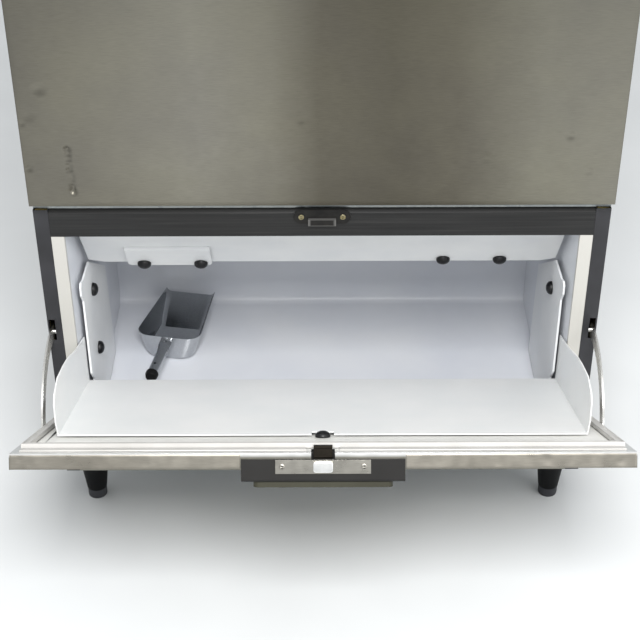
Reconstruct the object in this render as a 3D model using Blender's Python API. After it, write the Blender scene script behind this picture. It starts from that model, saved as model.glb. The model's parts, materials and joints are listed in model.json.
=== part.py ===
"""Cube ice maker with a drop-down bin door, stored open. Metres, +Z up, the front faces -Y.

Every piece is built with the cabinet's front plane at y = 0 and the floor at z = 0. Door pieces are
built in the door's own closed frame, which an empty on the hinge axis turns to the open position.
"""
import math

import bmesh
import bpy
from mathutils import Matrix, Vector

# Shared working sizes
GAP = 0.0003
CUT_OVERRUN = 0.010
SHEET = 0.0012
RIGHT_SIDE = 1
LEFT_SIDE = -1
BOTH_SIDES = (LEFT_SIDE, RIGHT_SIDE)

# Cabinet
CABINET_WIDTH = 1.080
CABINET_DEPTH = 0.640
LEG_HEIGHT = 0.128
BIN_HEIGHT = 0.635
MACHINE_HEIGHT = 0.722
SIDE_WALL = 0.053
REAR_WALL = 0.065
FLOOR_WALL = 0.045
FRONT_WALL = 0.042
LINER_WALL = 0.003
BASE_SHEET = 0.002
LINER_FILLET = 0.018

HALF_WIDTH = CABINET_WIDTH / 2
BIN_TOP = LEG_HEIGHT + BIN_HEIGHT
MACHINE_TOP = BIN_TOP + MACHINE_HEIGHT
INNER_HALF = HALF_WIDTH - SIDE_WALL
LINER_HALF = INNER_HALF + LINER_WALL
INNER_BACK = CABINET_DEPTH - REAR_WALL
LINER_BACK = INNER_BACK + LINER_WALL
INNER_FLOOR = LEG_HEIGHT + FLOOR_WALL
LINER_FLOOR = INNER_FLOOR - LINER_WALL

# Front frame of the bin
POST_WIDTH = 0.028
POST_DEPTH = 0.014
STRIP_HEIGHT = 0.058
STRIP_CHAMFER = 0.008
STRIP_WALL = 0.002
FLANGE_RECESS = 0.0005
POST_INNER = HALF_WIDTH - POST_WIDTH
STRIP_BOTTOM = BIN_TOP - STRIP_HEIGHT

# Door hinge, from the front plane and from the bin's underside
HINGE_FORWARD = 0.010
HINGE_ABOVE_BASE = 0.161
DOOR_OPEN_ANGLE = math.radians(59.95)
HINGE_Z = LEG_HEIGHT + HINGE_ABOVE_BASE

# Sill under the door
SILL_BELOW_HINGE = 0.033
SILL_ABOVE_HINGE = 0.024
SILL_INNER_DROP = 0.022
SILL_BOTTOM = HINGE_Z - SILL_BELOW_HINGE
SILL_TOP = HINGE_Z + SILL_ABOVE_HINGE
SILL_INNER = HINGE_Z - SILL_INNER_DROP

# Door, in its closed frame: origin on the hinge axis, +y into the bin, +z up the door
RIM_SETBACK = 0.001
DOOR_DEPTH = 0.0275
DOOR_BELOW_HINGE = 0.0115
DOOR_HEIGHT = 0.4873
DOOR_RIM_SIDE = 0.026
DOOR_RIM_TOP = 0.0615
DOOR_RIM_BOTTOM = 0.0355
DOOR_LINER_SHEET = 0.0025
DOOR_LINER_RAISE = 0.0018
DOOR_RAISE_INSET = 0.017
RIM_Y = -RIM_SETBACK
DOOR_FRONT_Y = RIM_Y - DOOR_DEPTH
DOOR_BOTTOM = -DOOR_BELOW_HINGE
DOOR_TOP = DOOR_BOTTOM + DOOR_HEIGHT
DOOR_LINER_HALF = HALF_WIDTH - DOOR_RIM_SIDE - GAP
DOOR_LINER_LOW = DOOR_BOTTOM + DOOR_RIM_BOTTOM + GAP
DOOR_LINER_HIGH = DOOR_TOP - DOOR_RIM_TOP - GAP
PLATEAU_Y = RIM_Y + DOOR_LINER_RAISE

# Gasket
GASKET_WIDTH = 0.014
GASKET_HEIGHT = 0.0104
GASKET_SIDE_INSET = 0.011
GASKET_TOP_INSET = 0.0473
GASKET_BOTTOM_INSET = 0.0205

# Door hinges
PIN_RADIUS = 0.003
PIN_CLEARANCE = 0.0003
KNUCKLE_RADIUS = 0.0065
KNUCKLE_LENGTH = 0.020
NOTCH_LENGTH = 0.027
NOTCH_RADIUS = 0.009
BRACKET_THICKNESS = 0.004
BRACKET_RADIUS = 0.007
BRACKET_INSET = 0.0005
BRACKET_FOOT_WIDTH = 0.024
BRACKET_FOOT_SHEET = 0.002
BRACKET_FOOT_DROP = 0.026

# Latch recess, pawl, handle and its lever
RECESS_HALF = 0.0205
RECESS_DEPTH = 0.025
RECESS_HEIGHT = 0.0458
PAWL_HALF = 0.0165
PAWL_PIVOT_DEPTH = 0.019
PAWL_PIVOT_DROP = 0.0318
PAWL_HUB_RADIUS = 0.006
PAWL_ARM_REACH = 0.027
PAWL_ARM_DROP = 0.0065
PAWL_ARM_THICKNESS = 0.004
PAWL_TIP_THICKNESS = 0.004
PAWL_TIP_RISE = 0.0035
PAWL_PIN_RADIUS = 0.002
HOUSING_HALF = 0.141
HOUSING_TOP_SETBACK = 0.010
HOUSING_REACH = 0.049
HOUSING_CAP = 0.007
HOUSING_DROP = 0.060
HOUSING_EDGE = 0.004
LEVER_HALF = 0.1205
LEVER_GAP = 0.001
LEVER_THICKNESS = 0.010
LEVER_BARREL_DROP = 0.054
LEVER_BARREL_RADIUS = 0.004
LEVER_LUG_WIDTH = 0.008
LEVER_LUG_CLEARANCE = 0.002
LEVER_PIN_RADIUS = 0.002
LATCH_PLATE_HALF = 0.082
LATCH_PLATE_SHEET = 0.0015
LATCH_PLATE_SETBACK = 0.0107
LATCH_PLATE_DEPTH = 0.024
LATCH_COVER_DEPTH = 0.018
LATCH_COVER_RISE = 0.0025
LATCH_SCREW_SPACING = 0.141
SCREW_SHANK_RADIUS = 0.002
SCREW_LENGTH = 0.006

# Striker on the head strip
STRIKER_HALF = 0.054
STRIKER_HEIGHT = 0.030
STRIKER_SHEET = 0.002
STRIKER_SCREW_SPACING = 0.078
KEEPER_HALF = 0.026
KEEPER_REACH = 0.0072
KEEPER_DROP = 0.017
KEEPER_LIP_HEIGHT = 0.014
KEEPER_SHEET = 0.0015

# Door stays: arcs about a point behind and above the hinge, in the door's frame
STAY_CENTRE_BACK = 0.021
STAY_CENTRE_UP = 0.045
STAY_OUTER_RADIUS = 0.174
STAY_BAND_WIDTH = 0.028
STAY_INNER_RADIUS = STAY_OUTER_RADIUS - STAY_BAND_WIDTH
STAY_INNER_END = math.radians(13.85)
STAY_THICKNESS = 0.0035
STAY_INSET = 0.007
STAY_STEPS = 14
STAY_FOOT_WIDTH = 0.0075
STAY_FOOT_SHEET = 0.0025
STAY_STOP_RADIUS = 0.005
STAY_STOP_LENGTH = 0.015
STAY_SLOT_WIDTH = 0.012
STAY_SLOT_PLAY = 0.004
STAY_POCKET_WIDTH = 0.0185
STAY_POCKET_DEPTH = 0.190
STAY_POCKET_DROP = 0.150

# Ice guide plate on the door, in the door's frame
GUIDE_FRONT_Y = 0.0066
GUIDE_FRONT_Z = 0.318
GUIDE_REAR_Y = 0.0633
GUIDE_REAR_Z = -0.0462
GUIDE_SHEET = 0.0025
GUIDE_SIDE_CLEARANCE = 0.0025
GUIDE_NOTCH_HALF = 0.0205
GUIDE_NOTCH_DEPTH = 0.015
GUIDE_RIB_SPACING = 0.600
GUIDE_RIB_LOW = 0.060
GUIDE_RIB_HIGH = 0.300
WING_LENGTH = 0.369
WING_HEIGHT = 0.119
# Each pair is how far along the plate from its rear edge, then how high above it
WING_OUTLINE_SHARES = ((0, 0), (1, 0), (1.056, 0.257), (1.074, 0.56), (1.053, 0.694),
                       (0.955, 0.866), (0.778, 0.918), (0.657, 0.928), (0.409, 0.867), (0.108, 0.861))

# Dome knobs
KNOB_RADIUS = 0.014
KNOB_HEIGHT = 0.012
KNOB_SHANK_RADIUS = 0.004
KNOB_HOLE_CLEARANCE = 0.0005
KNOB_SEGMENTS = 16

# Apron under the head strip
APRON_SIDE_CLEARANCE = 0.012
APRON_HALF = INNER_HALF - APRON_SIDE_CLEARANCE
APRON_SHEET = 0.003
APRON_RUN = 0.1505
APRON_FALL = 0.2055
APRON_TOP_DROP = 0.0125
APRON_FLANGE = 0.010
APRON_CORNER_WIDTH = 0.031
APRON_CORNER_RISE = 0.0125
APRON_KNOB_RISE = 0.013
APRON_KNOB_INNER_INSET = 0.229
APRON_KNOB_OUTER_INSET = 0.114
APRON_KNOB_INNER = APRON_HALF - APRON_KNOB_INNER_INSET
APRON_KNOB_OUTER = APRON_HALF - APRON_KNOB_OUTER_INSET
APRON_SHANK_LENGTH = 0.012
SENSOR_WIDTH = 0.170
SENSOR_HEIGHT = 0.080
SENSOR_STANDOFF = 0.006
SENSOR_INSET = 0.081
SENSOR_OUTER = APRON_HALF - SENSOR_INSET
SENSOR_SHEET = 0.0015

# Side guards in the bin
GUARD_SIDE_CLEARANCE = 0.013
GUARD_HALF = INNER_HALF - GUARD_SIDE_CLEARANCE
GUARD_SHEET = 0.004
GUARD_FLANGE_RISE = 0.029
GUARD_FRONT = 0.041
GUARD_BACK = 0.360
GUARD_FOOT = 0.005
GUARD_HEIGHT = 0.390
# Each pair is a share of the guard's depth from its front, then of its height from its foot
GUARD_OUTLINE_SHARES = ((0.116, 0), (1, 0), (0.93, 0.635), (0.342, 0.966), (0.103, 0.979), (0.03, 1),
                        (0, 0.984), (0, 0.935), (0.05, 0.877), (0.05, 0.42), (0.116, 0.343))
GUARD_KNOB_BACK = 0.116
GUARD_KNOB_LOW = 0.158
GUARD_KNOB_HIGH = 0.305

# Legs and adjusters
LEG_INSET_X = 0.045
LEG_SPACING_X = CABINET_WIDTH - 2 * LEG_INSET_X
LEG_INSET_Y = 0.076
LEG_TOP_RADIUS = 0.034
LEG_BOTTOM_RADIUS = 0.0215
LEG_BOTTOM_HEIGHT = 0.022
LEG_BORE_RADIUS = 0.0067
LEG_BORE_DEPTH = 0.055
STEM_RADIUS = 0.006
STEM_HEIGHT = 0.060
FOOT_RADIUS = 0.0205
ROUND_SEGMENTS = 20

# Bin drain
DRAIN_SIDE_INSET = 0.187
DRAIN_FRONT_INSET = 0.100
DRAIN_X = INNER_HALF - DRAIN_SIDE_INSET
DRAIN_Y = FRONT_WALL + DRAIN_FRONT_INSET
DRAIN_RADIUS = 0.014
DRAIN_BORE = 0.010
DRAIN_FLANGE_RADIUS = 0.026
DRAIN_FLANGE = 0.003
DRAIN_TAIL = 0.030

# Scoop, in its own frame: origin on the bin floor under its near wall, +y towards its lip
SCOOP_SIDE_INSET = 0.135
SCOOP_BACK_INSET = 0.239
SCOOP_X = SCOOP_SIDE_INSET - INNER_HALF
SCOOP_Y = INNER_BACK - SCOOP_BACK_INSET
SCOOP_TURN = math.radians(-10.5)
SCOOP_WIDTH = 0.152
SCOOP_LIP_WIDTH = 0.119
SCOOP_LENGTH = 0.216
SCOOP_FLAT = 0.125
SCOOP_RISE = 0.040
SCOOP_HEIGHT = 0.061
SCOOP_LIP = 0.010
# How far the sides lean out for each metre of height
SCOOP_FLARE = 0.3
SCOOP_SHEET = 0.0012
SCOOP_CORNER = 0.033
SCOOP_CORNER_STEPS = 6
HANDLE_RADIUS = 0.0125
HANDLE_LENGTH = 0.119
HANDLE_BELOW_RIM = 0.0135
HANDLE_WALL = 0.0015
CAP_RADIUS = 0.0140
CAP_LENGTH = 0.016
HANG_HOLE_RADIUS = 0.003

# Machine section above the bin
MACHINE_BASE_HEIGHT = 0.022
MACHINE_BASE_SETBACK = 0.006
DROP_LEFT_INSET = 0.100
DROP_RIGHT_INSET = 0.410
DROP_BACK_INSET = 0.070
DROP_FRONT = 0.190
DROP_LEFT = DROP_LEFT_INSET - HALF_WIDTH
DROP_RIGHT = HALF_WIDTH - DROP_RIGHT_INSET
DROP_BACK = CABINET_DEPTH - DROP_BACK_INSET
PANEL_REACH = 0.026
FRONT_PANEL_HEIGHT = 0.420
PANEL_RETURN = 0.012
TOP_TURN_DOWN = 0.030
VENT_COUNT = 8
VENT_PITCH = 0.024
VENT_RISE = 0.040

# Intake grille and air filter, right of centre in the upper front
GRILLE_MARGIN = 0.030
GRILLE_WIDTH = 0.380
GRILLE_RIGHT = HALF_WIDTH - GRILLE_MARGIN
GRILLE_LEFT = GRILLE_RIGHT - GRILLE_WIDTH
GRILLE_THICKNESS = 0.010
LOUVRE_COUNT = 9
LOUVRE_SHARE = 0.5
FILTER_THICKNESS = 0.008
FILTER_BORDER = 0.012
FILTER_CELLS_X = 6
FILTER_CELLS_Z = 3
FILTER_RIB = 0.004

# Freezing unit
FRAME_SHEET = 0.003
FRAME_MARGIN = 0.005
FRAME_BACK_MARGIN = 0.020
FRAME_LEFT = DROP_LEFT - FRAME_MARGIN
FRAME_RIGHT = DROP_RIGHT + FRAME_MARGIN
FRAME_FRONT = 0.100
FRAME_BACK = DROP_BACK + FRAME_BACK_MARGIN
FRAME_HEIGHT = 0.460
TRAY_PLAY = 0.004
CELL_COUNT_X = 7
CELL_COUNT_Y = 5
CELL_WALL = 0.010
EVAPORATOR_HEIGHT = 0.055
EVAPORATOR_RISE = 0.360
EVAPORATOR_INSET = 0.020
TRAY_GAP = 0.004
TRAY_THICKNESS = 0.020
TRAY_RIM = 0.012
TRAY_PIN_RADIUS = 0.005
RAIL_WIDTH = 0.040
TRAY_PIVOT_INSET = 0.015
TANK_DEPTH = 0.075
TANK_INSET = 0.045
TANK_WALL = 0.003
PUMP_RADIUS = 0.030
PUMP_HEIGHT = 0.060

# Refrigeration set, right of the freezing unit
COMPRESSOR_SIDE_INSET = 0.170
COMPRESSOR_BACK_INSET = 0.200
COMPRESSOR_X = HALF_WIDTH - COMPRESSOR_SIDE_INSET
COMPRESSOR_Y = CABINET_DEPTH - COMPRESSOR_BACK_INSET
COMPRESSOR_RADIUS = 0.095
COMPRESSOR_HEIGHT = 0.230
COMPRESSOR_DOME = 0.045
COMPRESSOR_FEET_SPACING = 0.170
COMPRESSOR_FOOT_RADIUS = 0.012
COMPRESSOR_PLATE = 0.004
COMPRESSOR_PLATE_MARGIN = 0.018
CONDENSER_SIDE_INSET = 0.025
CONDENSER_WIDTH = 0.350
CONDENSER_RIGHT = HALF_WIDTH - CONDENSER_SIDE_INSET
CONDENSER_LEFT = CONDENSER_RIGHT - CONDENSER_WIDTH
CONDENSER_FRONT = 0.030
CONDENSER_DEPTH = 0.050
CONDENSER_HEADROOM = 0.100
CONDENSER_HEIGHT = MACHINE_HEIGHT - MACHINE_BASE_HEIGHT - CONDENSER_HEADROOM
CONDENSER_FINS = 12
CONDENSER_FIN_SHARE = 0.5
CONDENSER_CORE_SHARE = 0.5
FAN_HEIGHT = 0.400
FAN_RADIUS = 0.120
FAN_HUB_RADIUS = 0.025
FAN_HUB_LENGTH = 0.026
FAN_BLADES = 5
FAN_BLADE_SHEET = 0.002
FAN_BLADE_PITCH = math.radians(28)
FAN_BLADE_WIDTH = 0.050
FAN_SETBACK = 0.030
MOTOR_RADIUS = 0.035
MOTOR_LENGTH = 0.060
MOTOR_SHAFT_RADIUS = 0.004
MOTOR_SHAFT_LENGTH = 0.034
MOTOR_BRACKET_WIDTH = 0.040
MOTOR_BRACKET_SHEET = 0.004
CONTROL_SIDE_INSET = 0.060
CONTROL_WIDTH = 0.300
CONTROL_RIGHT = HALF_WIDTH - CONTROL_SIDE_INSET
CONTROL_LEFT = CONTROL_RIGHT - CONTROL_WIDTH
CONTROL_DEPTH = 0.080
CONTROL_HEADROOM = 0.120
CONTROL_HEIGHT = 0.280


# Mesh building


def start_scene():
    for thing in list(bpy.data.objects):
        bpy.data.objects.remove(thing, do_unlink=True)


def surface(name, color, roughness, metallic=0.0):
    finish = bpy.data.materials.new(name)
    finish.use_nodes = True
    shader = finish.node_tree.nodes["Principled BSDF"]
    shader.inputs["Base Color"].default_value = (*color, 1)
    shader.inputs["Roughness"].default_value = roughness
    shader.inputs["Metallic"].default_value = metallic
    return finish


STAINLESS = ((0.55, 0.54, 0.51), 0.35, 1.0)
BLUED_STEEL = ((0.20, 0.20, 0.21), 0.4, 1.0)
BLACK_STEEL = ((0.03, 0.03, 0.03), 0.5, 0.0)
GALVANISED = ((0.50, 0.52, 0.53), 0.5, 1.0)
CHROME = ((0.80, 0.80, 0.80), 0.12, 1.0)
WHITE_PLASTIC = ((0.82, 0.83, 0.84), 0.4, 0.0)
CREAM_PLASTIC = ((0.75, 0.74, 0.68), 0.45, 0.0)
DARK_PLASTIC = ((0.05, 0.048, 0.045), 0.5, 0.0)
OLIVE_PLASTIC = ((0.13, 0.125, 0.08), 0.5, 0.0)
BLACK_RUBBER = ((0.02, 0.02, 0.02), 0.7, 0.0)
FOAM = ((0.72, 0.62, 0.35), 0.9, 0.0)
COPPER = ((0.60, 0.28, 0.14), 0.3, 1.0)
BLACK_ENAMEL = ((0.02, 0.02, 0.02), 0.3, 0.0)


def finish_object(name, form, look, parent=None):
    """Turn a bmesh into a named object with its own material."""
    bmesh.ops.recalc_face_normals(form, faces=form.faces)
    mesh = bpy.data.meshes.new(name)
    form.to_mesh(mesh)
    form.free()
    thing = bpy.data.objects.new(name, mesh)
    bpy.context.scene.collection.objects.link(thing)
    mesh.materials.append(surface(name + "_finish", *look))
    thing.parent = parent
    return thing


def round_shading(thing, angle=math.radians(35)):
    thing.data.shade_smooth()
    thing.data.set_sharp_from_angle(angle=angle)


def add_box(form, low, high):
    corners = [(x, y, z) for x in (low[0], high[0]) for y in (low[1], high[1]) for z in (low[2], high[2])]
    verts = [form.verts.new(corner) for corner in corners]
    for face in ((0, 1, 3, 2), (4, 6, 7, 5), (0, 4, 5, 1), (2, 3, 7, 6), (0, 2, 6, 4), (1, 5, 7, 3)):
        form.faces.new([verts[corner] for corner in face])


def along(axis, place, first, second):
    """A point from its place along one axis and its two other coordinates in x, y, z order."""
    point = [first, second]
    point.insert(axis, place)
    return point


def add_prism(form, axis, outline, start, end):
    """Extrude a closed outline, given on the two other axes, along an axis."""
    near = [form.verts.new(along(axis, start, *point)) for point in outline]
    far = [form.verts.new(along(axis, end, *point)) for point in outline]
    form.faces.new(near)
    form.faces.new(far[::-1])
    count = len(outline)
    for step in range(count):
        after = (step + 1) % count
        form.faces.new((near[step], far[step], far[after], near[after]))


def add_loft(form, rings):
    """Skin a row of closed rings of equal length and cap both ends."""
    skins = [[form.verts.new(corner) for corner in ring] for ring in rings]
    form.faces.new(skins[0])
    form.faces.new(skins[-1][::-1])
    for ring, following in zip(skins, skins[1:]):
        count = len(ring)
        for step in range(count):
            after = (step + 1) % count
            form.faces.new((ring[step], following[step], following[after], ring[after]))


def add_turned(form, profile, origin, axis, segments):
    """Spin (radius, height) pairs about an axis. Ends at radius 0 close; a closed loop has none."""
    axis = Vector(axis).normalized()
    side = axis.orthogonal().normalized()
    other = axis.cross(side)
    rings = []
    for radius, height in profile:
        centre = Vector(origin) + axis * height
        if radius == 0:
            rings.append([form.verts.new(centre)])
            continue
        ring = []
        for step in range(segments):
            turn = math.tau * step / segments
            ring.append(form.verts.new(centre + radius * (math.cos(turn) * side + math.sin(turn) * other)))
        rings.append(ring)
    open_ended = profile[0][0] == 0
    pairs = list(zip(rings, rings[1:]))
    if not open_ended:
        pairs.append((rings[-1], rings[0]))
    for ring, following in pairs:
        for step in range(segments):
            after = (step + 1) % segments
            quad = [ring[step % len(ring)], ring[after % len(ring)],
                    following[after % len(following)], following[step % len(following)]]
            corners = list(dict.fromkeys(quad))
            if len(corners) > 2:
                form.faces.new(corners)


def add_rod(form, start, axis, radius, length, segments=ROUND_SEGMENTS):
    add_turned(form, ((0, 0), (radius, 0), (radius, length), (0, length)), start, axis, segments)


def arc_points(centre, radius, start, end, steps):
    turns = [start + (end - start) * step / steps for step in range(steps + 1)]
    return [(centre[0] + radius * math.cos(turn), centre[1] + radius * math.sin(turn)) for turn in turns]


def combine(thing, form, operation, label):
    """Add a live boolean with its own hidden tool."""
    bmesh.ops.recalc_face_normals(form, faces=form.faces)
    mesh = bpy.data.meshes.new(f"{thing.name}_{label}")
    form.to_mesh(mesh)
    form.free()
    tool = bpy.data.objects.new(mesh.name, mesh)
    bpy.context.scene.collection.objects.link(tool)
    tool.parent = thing.parent
    tool.location = thing.location
    tool.rotation_euler = thing.rotation_euler
    tool.hide_render = True
    tool.display_type = "WIRE"
    change = thing.modifiers.new(label, "BOOLEAN")
    change.operation = operation
    change.solver = "EXACT"
    change.object = tool


def cut(thing, form, label):
    combine(thing, form, "DIFFERENCE", label)


def join(thing, form, label):
    combine(thing, form, "UNION", label)


def boxes(*spans):
    form = bmesh.new()
    for low, high in spans:
        add_box(form, low, high)
    return form


def prism(axis, outline, start, end):
    form = bmesh.new()
    add_prism(form, axis, outline, start, end)
    return form


def box_piece(name, low, high, look, parent=None):
    return finish_object(name, boxes((low, high)), look, parent)


def empty_on(name, place):
    """An empty that carries a moving group on its axis."""
    holder = bpy.data.objects.new(name, None)
    bpy.context.scene.collection.objects.link(holder)
    holder.location = place
    return holder


# Bin cabinet


def drain_hole(form, radius):
    add_rod(form, (DRAIN_X, DRAIN_Y, LEG_HEIGHT - CUT_OVERRUN), (0, 0, 1), radius,
            FLOOR_WALL + 2 * CUT_OVERRUN)


def wrap_casing(name, front, low, high):
    """Stainless sheet folded round both sides and the back."""
    inner = HALF_WIDTH - SHEET
    outline = [(-HALF_WIDTH, front), (-inner, front), (-inner, CABINET_DEPTH - SHEET),
               (inner, CABINET_DEPTH - SHEET), (inner, front), (HALF_WIDTH, front),
               (HALF_WIDTH, CABINET_DEPTH), (-HALF_WIDTH, CABINET_DEPTH)]
    return finish_object(name, prism(2, outline, low, high), STAINLESS)


def bin_shell():
    base = box_piece("base_plate", (-HALF_WIDTH + SHEET + GAP, POST_DEPTH + GAP, LEG_HEIGHT),
                     (HALF_WIDTH - SHEET - GAP, CABINET_DEPTH - SHEET - GAP, LEG_HEIGHT + BASE_SHEET),
                     GALVANISED)
    hole = bmesh.new()
    drain_hole(hole, DRAIN_RADIUS + GAP)
    cut(base, hole, "drain_hole")
    wrap_casing("bin_casing", POST_DEPTH + GAP, LEG_HEIGHT, BIN_TOP)
    box_piece("lower_front_panel", (-POST_INNER + GAP, 0, LEG_HEIGHT), (POST_INNER - GAP, SHEET, SILL_BOTTOM),
              STAINLESS)


def stay_slot():
    """Lowest and highest points that the stays reach in the posts while the door turns."""
    inner_end = (STAY_CENTRE_BACK + STAY_INNER_RADIUS * math.cos(STAY_INNER_END),
                 STAY_CENTRE_UP + STAY_INNER_RADIUS * math.sin(STAY_INNER_END))
    nearest = math.hypot(*inner_end)
    farthest = math.hypot(STAY_CENTRE_BACK, STAY_CENTRE_UP) + STAY_OUTER_RADIUS
    return HINGE_Z + nearest - STAY_SLOT_PLAY, HINGE_Z + farthest + STAY_SLOT_PLAY / 2


STAY_X = HALF_WIDTH - STAY_INSET - STAY_THICKNESS / 2


def front_posts():
    """Folded channels at the front corners, slotted for the door stays."""
    low, high = stay_slot()
    for side, name in ((LEFT_SIDE, "left"), (RIGHT_SIDE, "right")):
        outline = [(POST_INNER, 0), (HALF_WIDTH, 0), (HALF_WIDTH, POST_DEPTH),
                   (HALF_WIDTH - SHEET, POST_DEPTH), (HALF_WIDTH - SHEET, SHEET),
                   (POST_INNER + SHEET, SHEET), (POST_INNER + SHEET, POST_DEPTH), (POST_INNER, POST_DEPTH)]
        outline = [(side * x, y) for x, y in outline]
        post = finish_object(f"{name}_front_post", prism(2, outline, LEG_HEIGHT, BIN_TOP), BLUED_STEEL)
        slot = (side * STAY_X - STAY_SLOT_WIDTH / 2, side * STAY_X + STAY_SLOT_WIDTH / 2)
        cut(post, boxes(((slot[0], -CUT_OVERRUN, low), (slot[1], SHEET + GAP, high))), "stay_slot")


def bin_liner():
    """White inner box, open in front and above, with its front and top flanges and sloping sill."""
    top = BIN_TOP - GAP
    flange_middle = FLANGE_RECESS + LINER_WALL / 2
    wall_top = top - LINER_WALL / 2
    outline = [(flange_middle, SILL_TOP - 2 * LINER_WALL), (flange_middle, wall_top), (LINER_BACK, wall_top),
               (LINER_BACK, LINER_FLOOR), (FRONT_WALL - LINER_WALL, LINER_FLOOR),
               (FRONT_WALL - LINER_WALL, SILL_INNER - LINER_WALL)]
    liner = finish_object("bin_liner", prism(0, outline, -LINER_HALF, LINER_HALF), WHITE_PLASTIC)
    join(liner, boxes(((-POST_INNER + GAP, FLANGE_RECESS, SILL_BOTTOM + GAP),
                       (POST_INNER - GAP, FLANGE_RECESS + LINER_WALL, top))), "front_flange")
    join(liner, boxes(((-HALF_WIDTH + SHEET + GAP, POST_DEPTH + GAP, top - LINER_WALL),
                       (HALF_WIDTH - SHEET - GAP, CABINET_DEPTH - SHEET - GAP, top))), "top_flange")
    above = BIN_TOP + CUT_OVERRUN
    radius = LINER_FILLET
    space = [(-CUT_OVERRUN, above), (-CUT_OVERRUN, SILL_TOP), (FLANGE_RECESS + LINER_WALL, SILL_TOP),
             (FRONT_WALL, SILL_INNER)]
    space += arc_points((FRONT_WALL + radius, INNER_FLOOR + radius), radius, math.pi, 3 * math.pi / 2, 4)
    space += arc_points((INNER_BACK - radius, INNER_FLOOR + radius), radius, -math.pi / 2, 0, 4)
    space.append((INNER_BACK, above))
    cut(liner, prism(0, space, -INNER_HALF, INNER_HALF), "space")
    cut(liner, boxes(((-POST_INNER, -CUT_OVERRUN, STRIP_BOTTOM - GAP),
                      (POST_INNER, POST_DEPTH + 2 * GAP, above))), "strip_seat")


def bin_insulation():
    """Foam that fills the walls between the liner and the outer panels."""
    top = BIN_TOP - 2 * GAP - LINER_WALL
    foam_half = HALF_WIDTH - SHEET - GAP
    foam = box_piece("bin_insulation", (-foam_half, SHEET + GAP, LEG_HEIGHT + BASE_SHEET + GAP),
                     (foam_half, CABINET_DEPTH - SHEET - GAP, top), FOAM)
    above = top + CUT_OVERRUN
    seat = LINER_HALF + GAP
    cut(foam, boxes(((-seat, FRONT_WALL - LINER_WALL - GAP, LINER_FLOOR - GAP),
                     (seat, LINER_BACK + GAP, above))), "liner_space")
    cut(foam, boxes(((-HALF_WIDTH, -CUT_OVERRUN, SILL_BOTTOM - GAP),
                     (HALF_WIDTH, POST_DEPTH + GAP, above)),), "flange_space")
    cut(foam, boxes(((-seat, -CUT_OVERRUN, SILL_BOTTOM - 2 * GAP),
                     (seat, FRONT_WALL, above)),), "access_space")
    for side in BOTH_SIDES:
        edges = sorted((side * (INNER_HALF - GAP), side * (HALF_WIDTH + CUT_OVERRUN)))
        cut(foam, boxes(((edges[0], -CUT_OVERRUN, 0), (edges[1], POST_DEPTH + GAP, above))), "post_space")
        low, high = stay_slot()
        edges = sorted((side * foam_half, side * (foam_half - STAY_POCKET_WIDTH)))
        cut(foam, boxes(((edges[0] - GAP, -CUT_OVERRUN, low - STAY_POCKET_DROP),
                         (edges[1] + GAP, STAY_POCKET_DEPTH, high + STAY_SLOT_PLAY))), "stay_pocket")
    hole = bmesh.new()
    drain_hole(hole, DRAIN_RADIUS + GAP)
    cut(foam, hole, "drain_hole")


def head_strip():
    """Black steel channel across the top of the opening, where the gasket closes."""
    edge = STRIP_CHAMFER
    outline = [(0, STRIP_BOTTOM), (POST_DEPTH, STRIP_BOTTOM), (POST_DEPTH, STRIP_BOTTOM + STRIP_WALL),
               (STRIP_WALL, STRIP_BOTTOM + STRIP_WALL), (STRIP_WALL, BIN_TOP - edge - STRIP_WALL / 2),
               (edge + STRIP_WALL / 2, BIN_TOP - STRIP_WALL), (POST_DEPTH, BIN_TOP - STRIP_WALL),
               (POST_DEPTH, BIN_TOP), (edge, BIN_TOP), (0, BIN_TOP - edge)]
    strip = finish_object("opening_head_strip", prism(0, outline, -POST_INNER + GAP, POST_INNER - GAP),
                          BLACK_STEEL)
    for side in BOTH_SIDES:
        hole = bmesh.new()
        add_rod(hole, (side * STRIKER_SCREW_SPACING / 2, -CUT_OVERRUN, BIN_TOP - STRIKER_HEIGHT / 2),
                (0, 1, 0), SCREW_SHANK_RADIUS + GAP, CUT_OVERRUN + POST_DEPTH / 2)
        cut(strip, hole, "striker_hole")


def striker():
    """Stadium plate on the head strip with the keeper that the pawl hooks behind."""
    front = -GAP - STRIKER_SHEET
    middle = BIN_TOP - STRIKER_HEIGHT / 2
    corner = STRIKER_HEIGHT / 2
    ends = arc_points((STRIKER_HALF - corner, middle), corner, -math.pi / 2, math.pi / 2, 8)
    ends += arc_points((corner - STRIKER_HALF, middle), corner, math.pi / 2, 3 * math.pi / 2, 8)
    plate = finish_object("striker_plate", prism(1, ends, front, -GAP), STAINLESS)
    top = BIN_TOP - KEEPER_DROP
    lip = front - KEEPER_REACH
    keeper = [(front + STRIKER_SHEET / 2, top), (lip, top), (lip, top - KEEPER_LIP_HEIGHT),
              (lip + KEEPER_SHEET, top - KEEPER_LIP_HEIGHT), (lip + KEEPER_SHEET, top - KEEPER_SHEET),
              (front + STRIKER_SHEET / 2, top - KEEPER_SHEET)]
    join(plate, prism(0, keeper, -KEEPER_HALF, KEEPER_HALF), "keeper")
    for side in BOTH_SIDES:
        hole = bmesh.new()
        add_rod(hole, (side * STRIKER_SCREW_SPACING / 2, front - CUT_OVERRUN, middle), (0, 1, 0),
                SCREW_SHANK_RADIUS + GAP, STRIKER_SHEET + 2 * CUT_OVERRUN)
        cut(plate, hole, "screw_hole")


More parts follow.
